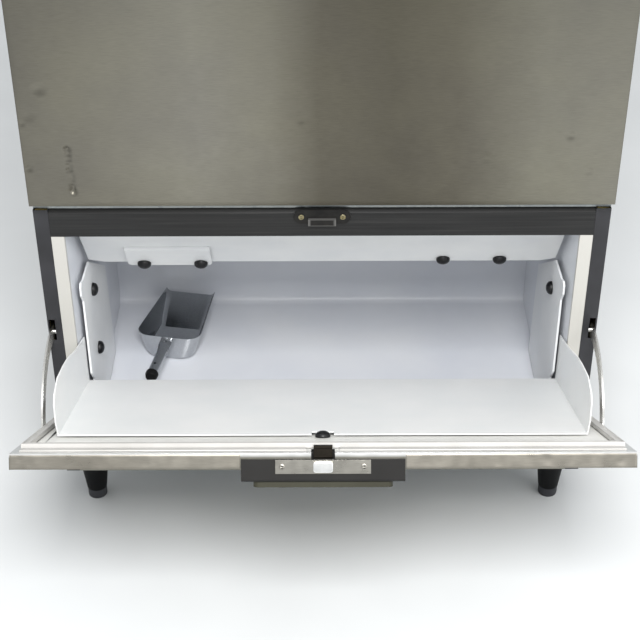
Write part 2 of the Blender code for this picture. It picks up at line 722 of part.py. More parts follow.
def add_knob(form, seat, axis, shank):
    """Dome knob: a flat-backed dome on its seat and a shank that runs back through the sheet."""
    profile = [(0, -shank), (KNOB_SHANK_RADIUS, -shank), (KNOB_SHANK_RADIUS, GAP), (KNOB_RADIUS, GAP)]
    steps = 4
    for step in range(steps):
        turn = math.pi / 2 * step / steps
        profile.append((KNOB_RADIUS * math.cos(turn),
                        GAP + KNOB_HEIGHT / steps + KNOB_HEIGHT * (1 - 1 / steps) * math.sin(turn)))
    profile.append((0, GAP + KNOB_HEIGHT))
    add_turned(form, profile, seat, axis, KNOB_SEGMENTS)


# Fittings inside the bin

APRON_LENGTH = math.hypot(APRON_RUN, APRON_FALL)
APRON_DOWN = Vector((0, APRON_RUN, -APRON_FALL)) / APRON_LENGTH
APRON_FACE = Vector((0, -APRON_FALL, -APRON_RUN)) / APRON_LENGTH
APRON_START = Vector((0, POST_DEPTH + 2 * GAP, BIN_TOP - APRON_TOP_DROP))


def on_apron(x, down, out):
    """A point on the apron: across, down its slope from the top, and out from its front face."""
    return APRON_START + Vector((x, 0, 0)) + APRON_DOWN * down + APRON_FACE * out


def add_slope_slab(form, outline, low, high):
    """A slab parallel to the apron from an outline of (across, down) points."""
    near = [form.verts.new(on_apron(x, down, low)) for x, down in outline]
    far = [form.verts.new(on_apron(x, down, high)) for x, down in outline]
    form.faces.new(near)
    form.faces.new(far[::-1])
    for step in range(len(outline)):
        after = (step + 1) % len(outline)
        form.faces.new((near[step], far[step], far[after], near[after]))


def apron_knob_places():
    return [(f"{place}_{name}", side * x, APRON_LENGTH - APRON_KNOB_RISE)
            for side, name in ((LEFT_SIDE, "left"), (RIGHT_SIDE, "right"))
            for x, place in ((APRON_KNOB_INNER, "inner"), (APRON_KNOB_OUTER, "outer"))]


def front_apron():
    """Slanted white apron that hangs behind the head strip and leads the ice to the bin."""
    low_half = APRON_HALF - APRON_CORNER_WIDTH
    side_end = APRON_LENGTH - APRON_CORNER_RISE
    outline = [(-APRON_HALF, 0), (APRON_HALF, 0), (APRON_HALF, side_end), (low_half, APRON_LENGTH),
               (-low_half, APRON_LENGTH), (-APRON_HALF, side_end)]
    form = bmesh.new()
    add_slope_slab(form, outline, -APRON_SHEET, 0)
    apron = finish_object("front_apron", form, WHITE_PLASTIC)
    join(apron, boxes(((-APRON_HALF, APRON_START.y, APRON_START.z - APRON_SHEET),
                       (APRON_HALF, APRON_START.y + APRON_SHEET, APRON_START.z + APRON_FLANGE))),
         "top_flange")
    for name, x, down in apron_knob_places():
        hole = bmesh.new()
        add_rod(hole, on_apron(x, down, CUT_OVERRUN), -APRON_FACE, KNOB_SHANK_RADIUS + KNOB_HOLE_CLEARANCE,
                2 * CUT_OVERRUN)
        cut(apron, hole, "knob_hole")


def level_sensor_bracket():
    """Folded white cover over the bin level sensor, on the left of the apron."""
    left = -SENSOR_OUTER
    right = left + SENSOR_WIDTH
    bottom = APRON_LENGTH + GAP
    top = bottom - SENSOR_HEIGHT
    outer = SENSOR_STANDOFF + SENSOR_SHEET
    corner = SENSOR_STANDOFF
    section = [(top, GAP), (top, outer), (bottom, outer), (bottom, SENSOR_STANDOFF),
               (top + SENSOR_SHEET, SENSOR_STANDOFF), (top + SENSOR_SHEET, GAP)]
    form = bmesh.new()
    add_loft(form, [[on_apron(x, *point) for point in section] for x in (left, right)])
    bracket = finish_object("level_sensor_bracket", form, WHITE_PLASTIC)
    for edge, inward in ((left, 1), (right, -1)):
        outline = [(edge - inward * corner, bottom - 2 * corner),
                   (edge + inward * 2 * corner, bottom + corner),
                   (edge - inward * corner, bottom + corner)]
        tool = bmesh.new()
        add_slope_slab(tool, outline, 0, outer + CUT_OVERRUN)
        cut(bracket, tool, "corner")
    for name, x, down in apron_knob_places():
        if x > 0:
            continue
        hole = bmesh.new()
        add_rod(hole, on_apron(x, down, outer + CUT_OVERRUN), -APRON_FACE,
                KNOB_SHANK_RADIUS + KNOB_HOLE_CLEARANCE, outer + CUT_OVERRUN)
        cut(bracket, hole, "knob_hole")


def guard_point(depth_share, height_share):
    return (GUARD_FRONT + depth_share * (GUARD_BACK - GUARD_FRONT),
            INNER_FLOOR + GUARD_FOOT + height_share * GUARD_HEIGHT)


def guard_knob_places():
    place = GUARD_FRONT + GUARD_KNOB_BACK
    low = (place, INNER_FLOOR + GUARD_FOOT + GUARD_KNOB_LOW)
    high = (place, INNER_FLOOR + GUARD_FOOT + GUARD_KNOB_HIGH)
    return (("lower_left", LEFT_SIDE, *low), ("upper_left", LEFT_SIDE, *high), ("right", RIGHT_SIDE, *high))


def side_guards():
    """White plates that stand off the bin's side walls, with a return along their rear edge."""
    outline = [guard_point(*shares) for shares in GUARD_OUTLINE_SHARES]
    foot, shoulder = guard_point(1, 0), guard_point(*GUARD_OUTLINE_SHARES[2])
    lean = (shoulder[0] - foot[0]) / (shoulder[1] - foot[1])
    start = foot[1] + GUARD_FLANGE_RISE
    start_y = foot[0] + lean * GUARD_FLANGE_RISE
    flange = [(start_y - GUARD_SHEET, start), (start_y, start), shoulder,
              (shoulder[0] - GUARD_SHEET, shoulder[1])]
    for side, name in ((LEFT_SIDE, "left"), (RIGHT_SIDE, "right")):
        inner, outer = side * GUARD_HALF, side * (GUARD_HALF + GUARD_SHEET)
        guard = finish_object(f"{name}_side_guard", prism(0, outline, *sorted((inner, outer))), WHITE_PLASTIC)
        edges = sorted((inner, side * (INNER_HALF - GAP)))
        join(guard, prism(0, flange, *edges), "wall_flange")
        for label, knob_side, y, z in guard_knob_places():
            if knob_side != side:
                continue
            hole = bmesh.new()
            add_rod(hole, (inner - side * CUT_OVERRUN, y, z), (side, 0, 0),
                    KNOB_SHANK_RADIUS + KNOB_HOLE_CLEARANCE, 2 * CUT_OVERRUN)
            cut(guard, hole, "knob_hole")


def bin_knobs():
    """Identical dome knobs that hold the sensor bracket, the apron and the side guards."""
    for name, x, down in apron_knob_places():
        seat = SENSOR_STANDOFF + SENSOR_SHEET if x < 0 else 0
        knob = bmesh.new()
        add_knob(knob, on_apron(x, down, seat), APRON_FACE, seat + APRON_SHANK_LENGTH)
        round_shading(finish_object(f"apron_knob_{name}", knob, BLACK_RUBBER))
    for name, side, y, z in guard_knob_places():
        knob = bmesh.new()
        add_knob(knob, (side * GUARD_HALF, y, z), (-side, 0, 0), INNER_HALF - GUARD_HALF - GAP)
        round_shading(finish_object(f"guard_knob_{name}", knob, BLACK_RUBBER))


def bin_drain():
    """Drain spigot under the bin floor."""
    low = LEG_HEIGHT - DRAIN_TAIL
    high = LINER_FLOOR - GAP
    profile = ((DRAIN_BORE, low), (DRAIN_RADIUS, low), (DRAIN_RADIUS, LEG_HEIGHT - 2 * DRAIN_FLANGE),
               (DRAIN_FLANGE_RADIUS, LEG_HEIGHT - 2 * DRAIN_FLANGE),
               (DRAIN_FLANGE_RADIUS, LEG_HEIGHT - GAP), (DRAIN_RADIUS, LEG_HEIGHT - GAP),
               (DRAIN_RADIUS, high), (DRAIN_BORE, high))
    form = bmesh.new()
    add_turned(form, profile, (DRAIN_X, DRAIN_Y, 0), (0, 0, 1), ROUND_SEGMENTS)
    round_shading(finish_object("bin_drain_fitting", form, DARK_PLASTIC))


def liner_drain_hole():
    hole = bmesh.new()
    drain_hole(hole, DRAIN_BORE)
    cut(bpy.data.objects["bin_liner"], hole, "drain_hole")


def leg_places():
    back = CABINET_DEPTH - LEG_INSET_Y
    return [(f"{depth}_{name}", side * LEG_SPACING_X / 2, y) for depth, y in (("front", LEG_INSET_Y),
            ("rear", back)) for name, side in (("left", LEFT_SIDE), ("right", RIGHT_SIDE))]


def legs_and_adjusters():
    """Tapered legs, each with a foot on a stem that screws up into its bore."""
    bore_top = LEG_BOTTOM_HEIGHT + LEG_BORE_DEPTH
    foot_top = LEG_BOTTOM_HEIGHT - GAP
    for place, x, y in leg_places():
        leg = bmesh.new()
        add_turned(leg, ((0, LEG_HEIGHT - GAP), (LEG_TOP_RADIUS, LEG_HEIGHT - GAP),
                         (LEG_BOTTOM_RADIUS, LEG_BOTTOM_HEIGHT), (LEG_BORE_RADIUS, LEG_BOTTOM_HEIGHT),
                         (LEG_BORE_RADIUS, bore_top), (0, bore_top)), (x, y, 0), (0, 0, 1), ROUND_SEGMENTS)
        round_shading(finish_object(f"leg_{place}", leg, DARK_PLASTIC))
        adjuster = bmesh.new()
        add_turned(adjuster, ((0, 0), (FOOT_RADIUS, 0), (FOOT_RADIUS, foot_top), (STEM_RADIUS, foot_top),
                              (STEM_RADIUS, STEM_HEIGHT), (0, STEM_HEIGHT)), (x, y, 0), (0, 0, 1),
                   ROUND_SEGMENTS)
        round_shading(finish_object(f"foot_adjuster_{place}", adjuster, DARK_PLASTIC))


# Door, built closed on an empty that turns it open


def notch_boxes(wall, inside):
    """Both bottom corners of the door, grown by a wall towards the door and held inside its faces."""
    form = bmesh.new()
    for side in BOTH_SIDES:
        edges = sorted((side * (HALF_WIDTH - NOTCH_LENGTH - wall), side * (HALF_WIDTH - inside)))
        add_box(form, (edges[0], -NOTCH_RADIUS - wall, DOOR_BOTTOM + inside),
                (edges[1], RIM_Y - inside, NOTCH_RADIUS + wall))
    return form


def latch_recess():
    return boxes(((-RECESS_HALF, RIM_Y - RECESS_DEPTH, DOOR_TOP - RECESS_HEIGHT),
                  (RECESS_HALF, RIM_Y + CUT_OVERRUN, DOOR_TOP + CUT_OVERRUN)))


def door_shell(door):
    """Outer stainless pan with its returned rim, foam filling and white inner liner."""
    skin = box_piece("door_outer_skin", (-HALF_WIDTH, DOOR_FRONT_Y, DOOR_BOTTOM),
                     (HALF_WIDTH, RIM_Y, DOOR_TOP), STAINLESS, door)
    cut(skin, boxes(((-HALF_WIDTH + SHEET, DOOR_FRONT_Y + SHEET, DOOR_BOTTOM + SHEET),
                     (HALF_WIDTH - SHEET, RIM_Y - SHEET, DOOR_TOP - SHEET))), "foam_space")
    cut(skin, boxes(((-HALF_WIDTH + DOOR_RIM_SIDE, RIM_Y - 2 * SHEET, DOOR_BOTTOM + DOOR_RIM_BOTTOM),
                     (HALF_WIDTH - DOOR_RIM_SIDE, RIM_Y + CUT_OVERRUN, DOOR_TOP - DOOR_RIM_TOP))),
       "rim_opening")
    join(skin, notch_boxes(SHEET, SHEET / 2), "notch_walls")
    cut(skin, notch_boxes(0, -CUT_OVERRUN), "hinge_notches")
    cut(skin, latch_recess(), "latch_recess")
    hinges(skin)
    liner_back = RIM_Y - SHEET - DOOR_LINER_SHEET
    foam = box_piece("door_insulation",
                     (-HALF_WIDTH + SHEET + GAP, DOOR_FRONT_Y + SHEET + GAP, DOOR_BOTTOM + SHEET + GAP),
                     (HALF_WIDTH - SHEET - GAP, liner_back - GAP, DOOR_TOP - SHEET - GAP), FOAM, door)
    cut(foam, notch_boxes(SHEET + GAP, -CUT_OVERRUN), "hinge_notches")
    cut(foam, latch_recess(), "latch_recess")
    low, high = DOOR_LINER_LOW, DOOR_LINER_HIGH
    liner = box_piece("door_liner", (-DOOR_LINER_HALF, liner_back, low), (DOOR_LINER_HALF, RIM_Y, high),
                      CREAM_PLASTIC, door)
    inset = DOOR_RAISE_INSET
    join(liner, boxes(((-DOOR_LINER_HALF + inset, liner_back + GAP, low + inset),
                       (DOOR_LINER_HALF - inset, PLATEAU_Y, high - GAP))), "plateau")
    hole = bmesh.new()
    add_rod(hole, (0, CUT_OVERRUN, GUIDE_FRONT_Z), (0, -1, 0), KNOB_SHANK_RADIUS + KNOB_HOLE_CLEARANCE,
            2 * CUT_OVERRUN)
    cut(liner, hole, "knob_hole")
    hole = bmesh.new()
    add_rod(hole, (0, CUT_OVERRUN, GUIDE_FRONT_Z), (0, -1, 0), KNOB_SHANK_RADIUS + KNOB_HOLE_CLEARANCE,
            2 * CUT_OVERRUN + DOOR_LINER_SHEET)
    cut(foam, hole, "knob_hole")


def door_gasket(door):
    """Push-in gasket ring on the rim, with a shallow groove round its face."""
    outer = (HALF_WIDTH - GASKET_SIDE_INSET, DOOR_BOTTOM + GASKET_BOTTOM_INSET, DOOR_TOP - GASKET_TOP_INSET)
    low, high = RIM_Y + GAP, RIM_Y + GASKET_HEIGHT
    ring = box_piece("door_gasket", (-outer[0], low, outer[1]), (outer[0], high, outer[2]),
                     CREAM_PLASTIC, door)
    inner = [outer[0] - GASKET_WIDTH, outer[1] + GASKET_WIDTH, outer[2] - GASKET_WIDTH]
    cut(ring, boxes(((-inner[0], low - CUT_OVERRUN, inner[1]), (inner[0], high + CUT_OVERRUN, inner[2]))),
        "middle")


def hinges(skin):
    """Pins on brackets at the posts, and the knuckles on the door's skin that turn on them."""
    inner = HALF_WIDTH - NOTCH_LENGTH
    outer = HALF_WIDTH - BRACKET_INSET
    for side, name in ((LEFT_SIDE, "left"), (RIGHT_SIDE, "right")):
        foot_back = HINGE_FORWARD - GAP
        nose = arc_points((0, 0), BRACKET_RADIUS, math.pi / 2, 3 * math.pi / 2, 8)
        outline = nose + [(foot_back, -BRACKET_RADIUS), (foot_back, BRACKET_RADIUS)]
        span = sorted((side * outer, side * (outer - BRACKET_THICKNESS)))
        bracket = finish_object(f"{name}_hinge_bracket", prism(0, outline, *span), STAINLESS)
        bracket.location = (0, -HINGE_FORWARD, HINGE_Z)
        foot = sorted((side * outer, side * (outer - BRACKET_FOOT_WIDTH)))
        join(bracket, boxes(((foot[0], foot_back - BRACKET_FOOT_SHEET, -BRACKET_FOOT_DROP),
                             (foot[1], foot_back, BRACKET_RADIUS))), "foot")
        pin = bmesh.new()
        start = outer - BRACKET_THICKNESS / 2
        add_rod(pin, (side * start, 0, 0), (-side, 0, 0), PIN_RADIUS, start - inner - GAP)
        join(bracket, pin, "pin")
        eye = arc_points((0, 0), KNUCKLE_RADIUS, -math.pi / 2, math.pi / 2, 8)
        back = -NOTCH_RADIUS - SHEET / 2
        body = sorted((side * (inner - SHEET), side * (inner + KNUCKLE_LENGTH)))
        join(skin, prism(0, eye + [(back, KNUCKLE_RADIUS), (back, -KNUCKLE_RADIUS)], *body), "knuckle")
        hole = bmesh.new()
        add_rod(hole, (side * (inner - SHEET - CUT_OVERRUN), 0, 0), (side, 0, 0), PIN_RADIUS + PIN_CLEARANCE,
                KNUCKLE_LENGTH + SHEET + 2 * CUT_OVERRUN)
        cut(skin, hole, "pin_hole")


def stay_end(radius):
    """Turn at which a stay's arc of this radius meets the door's rim."""
    return math.acos((RIM_Y + GAP - STAY_CENTRE_BACK) / radius)


def door_stays(door):
    """Flat curved bars fixed to the door's rim, which run through the slots in the posts."""
    centre = (STAY_CENTRE_BACK, STAY_CENTRE_UP)
    outline = arc_points(centre, STAY_OUTER_RADIUS, STAY_INNER_END, stay_end(STAY_OUTER_RADIUS), STAY_STEPS)
    outline += arc_points(centre, STAY_INNER_RADIUS, stay_end(STAY_INNER_RADIUS), STAY_INNER_END, STAY_STEPS)
    middle = (STAY_INNER_RADIUS + STAY_OUTER_RADIUS) / 2
    tip = arc_points(centre, middle, STAY_INNER_END, STAY_INNER_END, 1)[0]
    for side, name in ((LEFT_SIDE, "left"), (RIGHT_SIDE, "right")):
        span = sorted((side * (STAY_X - STAY_THICKNESS / 2), side * (STAY_X + STAY_THICKNESS / 2)))
        stay = finish_object(f"{name}_door_stay", prism(0, outline, *span), STAINLESS, door)
        foot_low = outline[-STAY_STEPS - 1][1]
        foot_high = outline[STAY_STEPS][1]
        inner = STAY_X - STAY_THICKNESS / 2
        foot = sorted((side * inner, side * (inner + STAY_FOOT_WIDTH)))
        join(stay, boxes(((foot[0], RIM_Y + GAP, foot_low),
                          (foot[1], RIM_Y + GAP + STAY_FOOT_SHEET, foot_high))),
             "foot")
        stop = bmesh.new()
        add_rod(stop, (side * STAY_X - STAY_STOP_LENGTH / 2, *tip), (1, 0, 0), STAY_STOP_RADIUS,
                STAY_STOP_LENGTH, KNOB_SEGMENTS)
        join(stay, stop, "stop")


GUIDE_RUN = Vector((0, GUIDE_FRONT_Y - GUIDE_REAR_Y, GUIDE_FRONT_Z - GUIDE_REAR_Z))
GUIDE_UP = Vector((0, GUIDE_RUN.z, -GUIDE_RUN.y)).normalized()
GUIDE_ALONG = GUIDE_RUN.normalized()
GUIDE_HALF = INNER_HALF - GUIDE_SIDE_CLEARANCE


def guide_point(distance, height):
    """A (y, z) point by its distance along the guide plate from its rear edge and its height above it."""
    point = Vector((0, GUIDE_REAR_Y, GUIDE_REAR_Z)) + GUIDE_ALONG * distance + GUIDE_UP * height
    return point.y, point.z


def ice_guide(door):
    """White guide plate on the door, with a wing at each side, ribs beneath and a knob in front."""
    length = GUIDE_RUN.length
    sheet = [guide_point(0, 0), guide_point(length, 0), guide_point(length, -GUIDE_SHEET),
             guide_point(0, -GUIDE_SHEET)]
    guide = finish_object("ice_guide_plate", prism(0, sheet, -GUIDE_HALF, GUIDE_HALF), WHITE_PLASTIC, door)
    wing = [guide_point(along_share * WING_LENGTH, height_share * WING_HEIGHT)
            for along_share, height_share in WING_OUTLINE_SHARES]
    wing[:2] = [guide_point(0, -GUIDE_SHEET / 2), guide_point(length, -GUIDE_SHEET / 2)]
    for side in BOTH_SIDES:
        join(guide, prism(0, wing, *sorted((side * GUIDE_HALF, side * (GUIDE_HALF - GUIDE_SHEET)))), "wing")
        rib_x = side * GUIDE_RIB_SPACING / 2
        foot = PLATEAU_Y + GAP
        low_depth = (GUIDE_RIB_LOW - GUIDE_REAR_Z) / GUIDE_ALONG.z
        high_depth = (GUIDE_RIB_HIGH - GUIDE_REAR_Z) / GUIDE_ALONG.z
        rib = [(foot, GUIDE_RIB_HIGH), (foot, GUIDE_RIB_LOW), guide_point(low_depth, -GUIDE_SHEET / 2),
               guide_point(high_depth, -GUIDE_SHEET / 2)]
        join(guide, prism(0, rib, rib_x - GUIDE_SHEET / 2, rib_x + GUIDE_SHEET / 2), "rib")
    notch_back, notch_front = length - GUIDE_NOTCH_DEPTH, length + CUT_OVERRUN
    notch = [guide_point(notch_back, -CUT_OVERRUN), guide_point(notch_front, -CUT_OVERRUN),
             guide_point(notch_front, CUT_OVERRUN), guide_point(notch_back, CUT_OVERRUN)]
    cut(guide, prism(0, notch, -GUIDE_NOTCH_HALF, GUIDE_NOTCH_HALF), "knob_notch")
    knob = bmesh.new()
    add_knob(knob, (0, PLATEAU_Y, GUIDE_FRONT_Z), (0, 1, 0), PLATEAU_Y - RIM_Y + DOOR_LINER_SHEET)
    round_shading(finish_object("guide_plate_knob", knob, BLACK_RUBBER, door))


def handle_housing(door):
    """Dark moulded housing that caps the door's top edge and hangs over its outer face."""
    front = RIM_Y - HOUSING_REACH
    back = RIM_Y - HOUSING_TOP_SETBACK
    seat = DOOR_FRONT_Y - GAP
    top = DOOR_TOP + HOUSING_CAP
    low = DOOR_TOP - HOUSING_DROP
    outline = [(back, DOOR_TOP + GAP), (back, top), (front + HOUSING_EDGE, top), (front, top - HOUSING_EDGE),
               (front, low + HOUSING_EDGE), (front + HOUSING_EDGE, low), (seat, low), (seat, DOOR_TOP + GAP)]
    housing = finish_object("handle_housing", prism(0, outline, -HOUSING_HALF, HOUSING_HALF),
                            DARK_PLASTIC, door)
    barrel_y = front - LEVER_GAP - LEVER_THICKNESS / 2
    barrel_z = DOOR_TOP - LEVER_BARREL_DROP
    inner = LEVER_HALF + LEVER_LUG_CLEARANCE
    for side in BOTH_SIDES:
        span = sorted((side * inner, side * (inner + LEVER_LUG_WIDTH)))
        lug = [(front + HOUSING_EDGE, barrel_z + 2 * LEVER_BARREL_RADIUS), (front + HOUSING_EDGE, barrel_z)]
        lug += arc_points((barrel_y, barrel_z), LEVER_BARREL_RADIUS, 3 * math.pi / 2, math.pi / 2, 6)
        join(housing, prism(0, lug, *span), "lever_lug")
        hole = bmesh.new()
        add_rod(hole, (side * (inner - LEVER_LUG_CLEARANCE), barrel_y, barrel_z), (side, 0, 0),
                LEVER_PIN_RADIUS + PIN_CLEARANCE, LEVER_LUG_WIDTH + 2 * LEVER_LUG_CLEARANCE, KNOB_SEGMENTS)
        cut(housing, hole, "pin_hole")
    for side in BOTH_SIDES:
        hole = bmesh.new()
        add_rod(hole, (side * LATCH_SCREW_SPACING / 2, latch_plate_middle(), top + CUT_OVERRUN), (0, 0, -1),
                SCREW_SHANK_RADIUS + GAP, CUT_OVERRUN + SCREW_LENGTH)
        cut(housing, hole, "screw_hole")


def latch_plate_middle():
    return RIM_Y - LATCH_PLATE_SETBACK - LATCH_PLATE_DEPTH / 2


def latch_plate(door):
    """Stainless plate screwed to the housing, with the raised cover over the latch."""
    low = DOOR_TOP + HOUSING_CAP + GAP
    high = low + LATCH_PLATE_SHEET
    middle = latch_plate_middle()
    plate = box_piece("latch_plate", (-LATCH_PLATE_HALF, middle - LATCH_PLATE_DEPTH / 2, low),
                      (LATCH_PLATE_HALF, middle + LATCH_PLATE_DEPTH / 2, high), STAINLESS, door)
    join(plate, boxes(((-PAWL_HALF, middle - LATCH_COVER_DEPTH / 2, low + GAP),
                       (PAWL_HALF, middle + LATCH_COVER_DEPTH / 2, high + LATCH_COVER_RISE))), "latch_cover")
    for side in BOTH_SIDES:
        hole = bmesh.new()
        add_rod(hole, (side * LATCH_SCREW_SPACING / 2, middle, high + CUT_OVERRUN), (0, 0, -1),
                SCREW_SHANK_RADIUS + GAP, 2 * CUT_OVERRUN)
        cut(plate, hole, "screw_hole")


def handle_lever(door):
    """Grip lever on two end pins at the housing's lower edge."""
    lever_y = RIM_Y - HOUSING_REACH - LEVER_GAP - LEVER_THICKNESS / 2
    pivot = empty_on("lever_axis", (0, lever_y, DOOR_TOP - LEVER_BARREL_DROP))
    pivot.parent = door
    half = LEVER_THICKNESS / 2
    top = LEVER_BARREL_DROP - LEVER_GAP
    end = LEVER_HALF - LEVER_THICKNESS
    ends = arc_points((end, top - LEVER_THICKNESS), LEVER_THICKNESS, 0, math.pi / 2, 4)
    ends += arc_points((-end, top - LEVER_THICKNESS), LEVER_THICKNESS, math.pi / 2, math.pi, 4)
    ends += [(-LEVER_HALF, 0), (LEVER_HALF, 0)]
    lever = finish_object("handle_lever", prism(1, ends, -half, half), OLIVE_PLASTIC, pivot)
    barrel = bmesh.new()
    reach = LEVER_HALF + LEVER_LUG_CLEARANCE + LEVER_LUG_WIDTH
    add_rod(barrel, (-reach, 0, 0), (1, 0, 0), LEVER_PIN_RADIUS, 2 * reach, KNOB_SEGMENTS)
    join(lever, barrel, "pins")
    roll = bmesh.new()
    add_rod(roll, (-LEVER_HALF, 0, 0), (1, 0, 0), LEVER_BARREL_RADIUS, 2 * LEVER_HALF, KNOB_SEGMENTS)
    join(lever, roll, "barrel")


def latch_pawl(door):
    """Hook in the door's top recess that catches behind the keeper's lip."""
    pivot = empty_on("pawl_axis", (0, RIM_Y - PAWL_PIVOT_DEPTH, DOOR_TOP - PAWL_PIVOT_DROP))
    pivot.parent = door
    bottom = -PAWL_ARM_DROP
    arm_top = bottom + PAWL_ARM_THICKNESS
    tip_back = PAWL_ARM_REACH - PAWL_TIP_THICKNESS
    outline = arc_points((0, 0), PAWL_HUB_RADIUS, math.pi / 4, 5 * math.pi / 4, 6)
    outline += [(-PAWL_HUB_RADIUS / 2, bottom), (PAWL_ARM_REACH, bottom),
                (PAWL_ARM_REACH, PAWL_TIP_RISE - PAWL_TIP_THICKNESS / 2),
                (PAWL_ARM_REACH - PAWL_TIP_THICKNESS / 2, PAWL_TIP_RISE), (tip_back, PAWL_TIP_RISE),
                (tip_back, arm_top), (PAWL_HUB_RADIUS, arm_top)]
    pawl = finish_object("latch_pawl", prism(0, outline, -PAWL_HALF, PAWL_HALF), GALVANISED, pivot)
    pin = bmesh.new()
    reach = RECESS_HALF - GAP
    add_rod(pin, (-reach, 0, 0), (1, 0, 0), PAWL_PIN_RADIUS, 2 * reach, KNOB_SEGMENTS)
    join(pawl, pin, "pin")


def door_assembly():
    door = empty_on("door_hinge_axis", (0, -HINGE_FORWARD, HINGE_Z))
    door.rotation_euler.x = DOOR_OPEN_ANGLE
    door_shell(door)
    door_gasket(door)
    door_stays(door)
    ice_guide(door)
    handle_housing(door)
    latch_plate(door)
    handle_lever(door)
    latch_pawl(door)


# Scoop


def scoop_rim(depth):
    return SCOOP_HEIGHT + (SCOOP_RISE + SCOOP_LIP - SCOOP_HEIGHT) * depth / SCOOP_LENGTH


def scoop_ring(depth, corner_loss, floor, inset, above):
    """One section across the bowl, its sides leaning out, drawn in from the outer form by the inset."""
    rim = scoop_rim(depth)
    half = (SCOOP_WIDTH + (SCOOP_LIP_WIDTH - SCOOP_WIDTH) * depth / SCOOP_LENGTH) / 2 - corner_loss
    low = half - inset - SCOOP_FLARE * (rim - floor)
    high = half - inset + SCOOP_FLARE * above
    return [(-low, depth, floor + inset), (low, depth, floor + inset),
            (high, depth, rim + above), (-high, depth, rim + above)]


def scoop_rings(inset, above, overrun):
    """Sections from the rounded near wall over the flat floor to the raised lip."""
    rings = []
    radius = SCOOP_CORNER - inset
    for step in range(SCOOP_CORNER_STEPS + 1):
        turn = math.pi / 2 * step / SCOOP_CORNER_STEPS
        depth = SCOOP_CORNER - radius * math.cos(turn)
        rings.append(scoop_ring(depth, radius - radius * math.sin(turn), 0, inset, above))
    slope = SCOOP_RISE / (SCOOP_LENGTH - SCOOP_FLAT)
    rings.append(scoop_ring(SCOOP_FLAT, 0, 0, inset, above))
    rings.append(scoop_ring(SCOOP_LENGTH + overrun, 0, SCOOP_RISE + slope * overrun, inset, above))
    return rings


def scoop():
    """Sheet bowl with leaning sides and a raised lip, a tube handle and a black cap on its end."""
    holder = empty_on("scoop_frame", (SCOOP_X, SCOOP_Y, INNER_FLOOR + GAP))
    holder.rotation_euler.z = SCOOP_TURN
    form = bmesh.new()
    add_loft(form, scoop_rings(0, 0, 0))
    bowl = finish_object("scoop_bowl", form, STAINLESS, holder)
    rings = scoop_rings(SCOOP_SHEET, CUT_OVERRUN, CUT_OVERRUN)
    form = bmesh.new()
    add_loft(form, rings)
    cut(bowl, form, "hollow")
    height = SCOOP_HEIGHT - HANDLE_BELOW_RIM
    inner = HANDLE_RADIUS - HANDLE_WALL
    overlap = SCOOP_SHEET / 2
    tube = bmesh.new()
    add_turned(tube, ((inner, -overlap), (HANDLE_RADIUS, -overlap), (HANDLE_RADIUS, HANDLE_LENGTH),
                      (inner, HANDLE_LENGTH)), (0, 0, height), (0, -1, 0), ROUND_SEGMENTS)
    join(bowl, tube, "handle")
    hole = bmesh.new()
    add_rod(hole, (0, -HANDLE_LENGTH + CAP_LENGTH, height - 2 * HANDLE_RADIUS), (0, 0, 1), HANG_HOLE_RADIUS,
            4 * HANDLE_RADIUS, KNOB_SEGMENTS)
    cut(bowl, hole, "hang_hole")
    round_shading(bowl)
    cap = bmesh.new()
    add_turned(cap, ((0, -CAP_LENGTH / 2), (inner - GAP, -CAP_LENGTH / 2), (inner - GAP, GAP),
                     (CAP_RADIUS, GAP),
                     (CAP_RADIUS, CAP_LENGTH / 2), (inner, CAP_LENGTH), (0, CAP_LENGTH)),
               (0, -HANDLE_LENGTH - GAP, height), (0, -1, 0), ROUND_SEGMENTS)
    round_shading(finish_object("scoop_handle_cap", cap, BLACK_RUBBER, holder))


# Machine section: outer panels

BASE_TOP = BIN_TOP + MACHINE_BASE_HEIGHT
PANEL_FACE = -PANEL_REACH
PANEL_LOW = BASE_TOP + GAP
PANEL_TOP = MACHINE_TOP - SHEET - GAP
GRILLE_LOW = PANEL_LOW + FRONT_PANEL_HEIGHT
GRILLE_TOP = MACHINE_TOP - TOP_TURN_DOWN - GRILLE_MARGIN


def machine_base():
    """Frame that stands on the bin, open where the ice drops."""
    base = box_piece("machine_base", (-HALF_WIDTH, MACHINE_BASE_SETBACK, BIN_TOP + GAP),
                     (HALF_WIDTH, CABINET_DEPTH, BASE_TOP), GALVANISED)
    cut(base, boxes(((DROP_LEFT, DROP_FRONT, BIN_TOP - CUT_OVERRUN),
                     (DROP_RIGHT, DROP_BACK, BASE_TOP + CUT_OVERRUN))),
        "ice_drop")


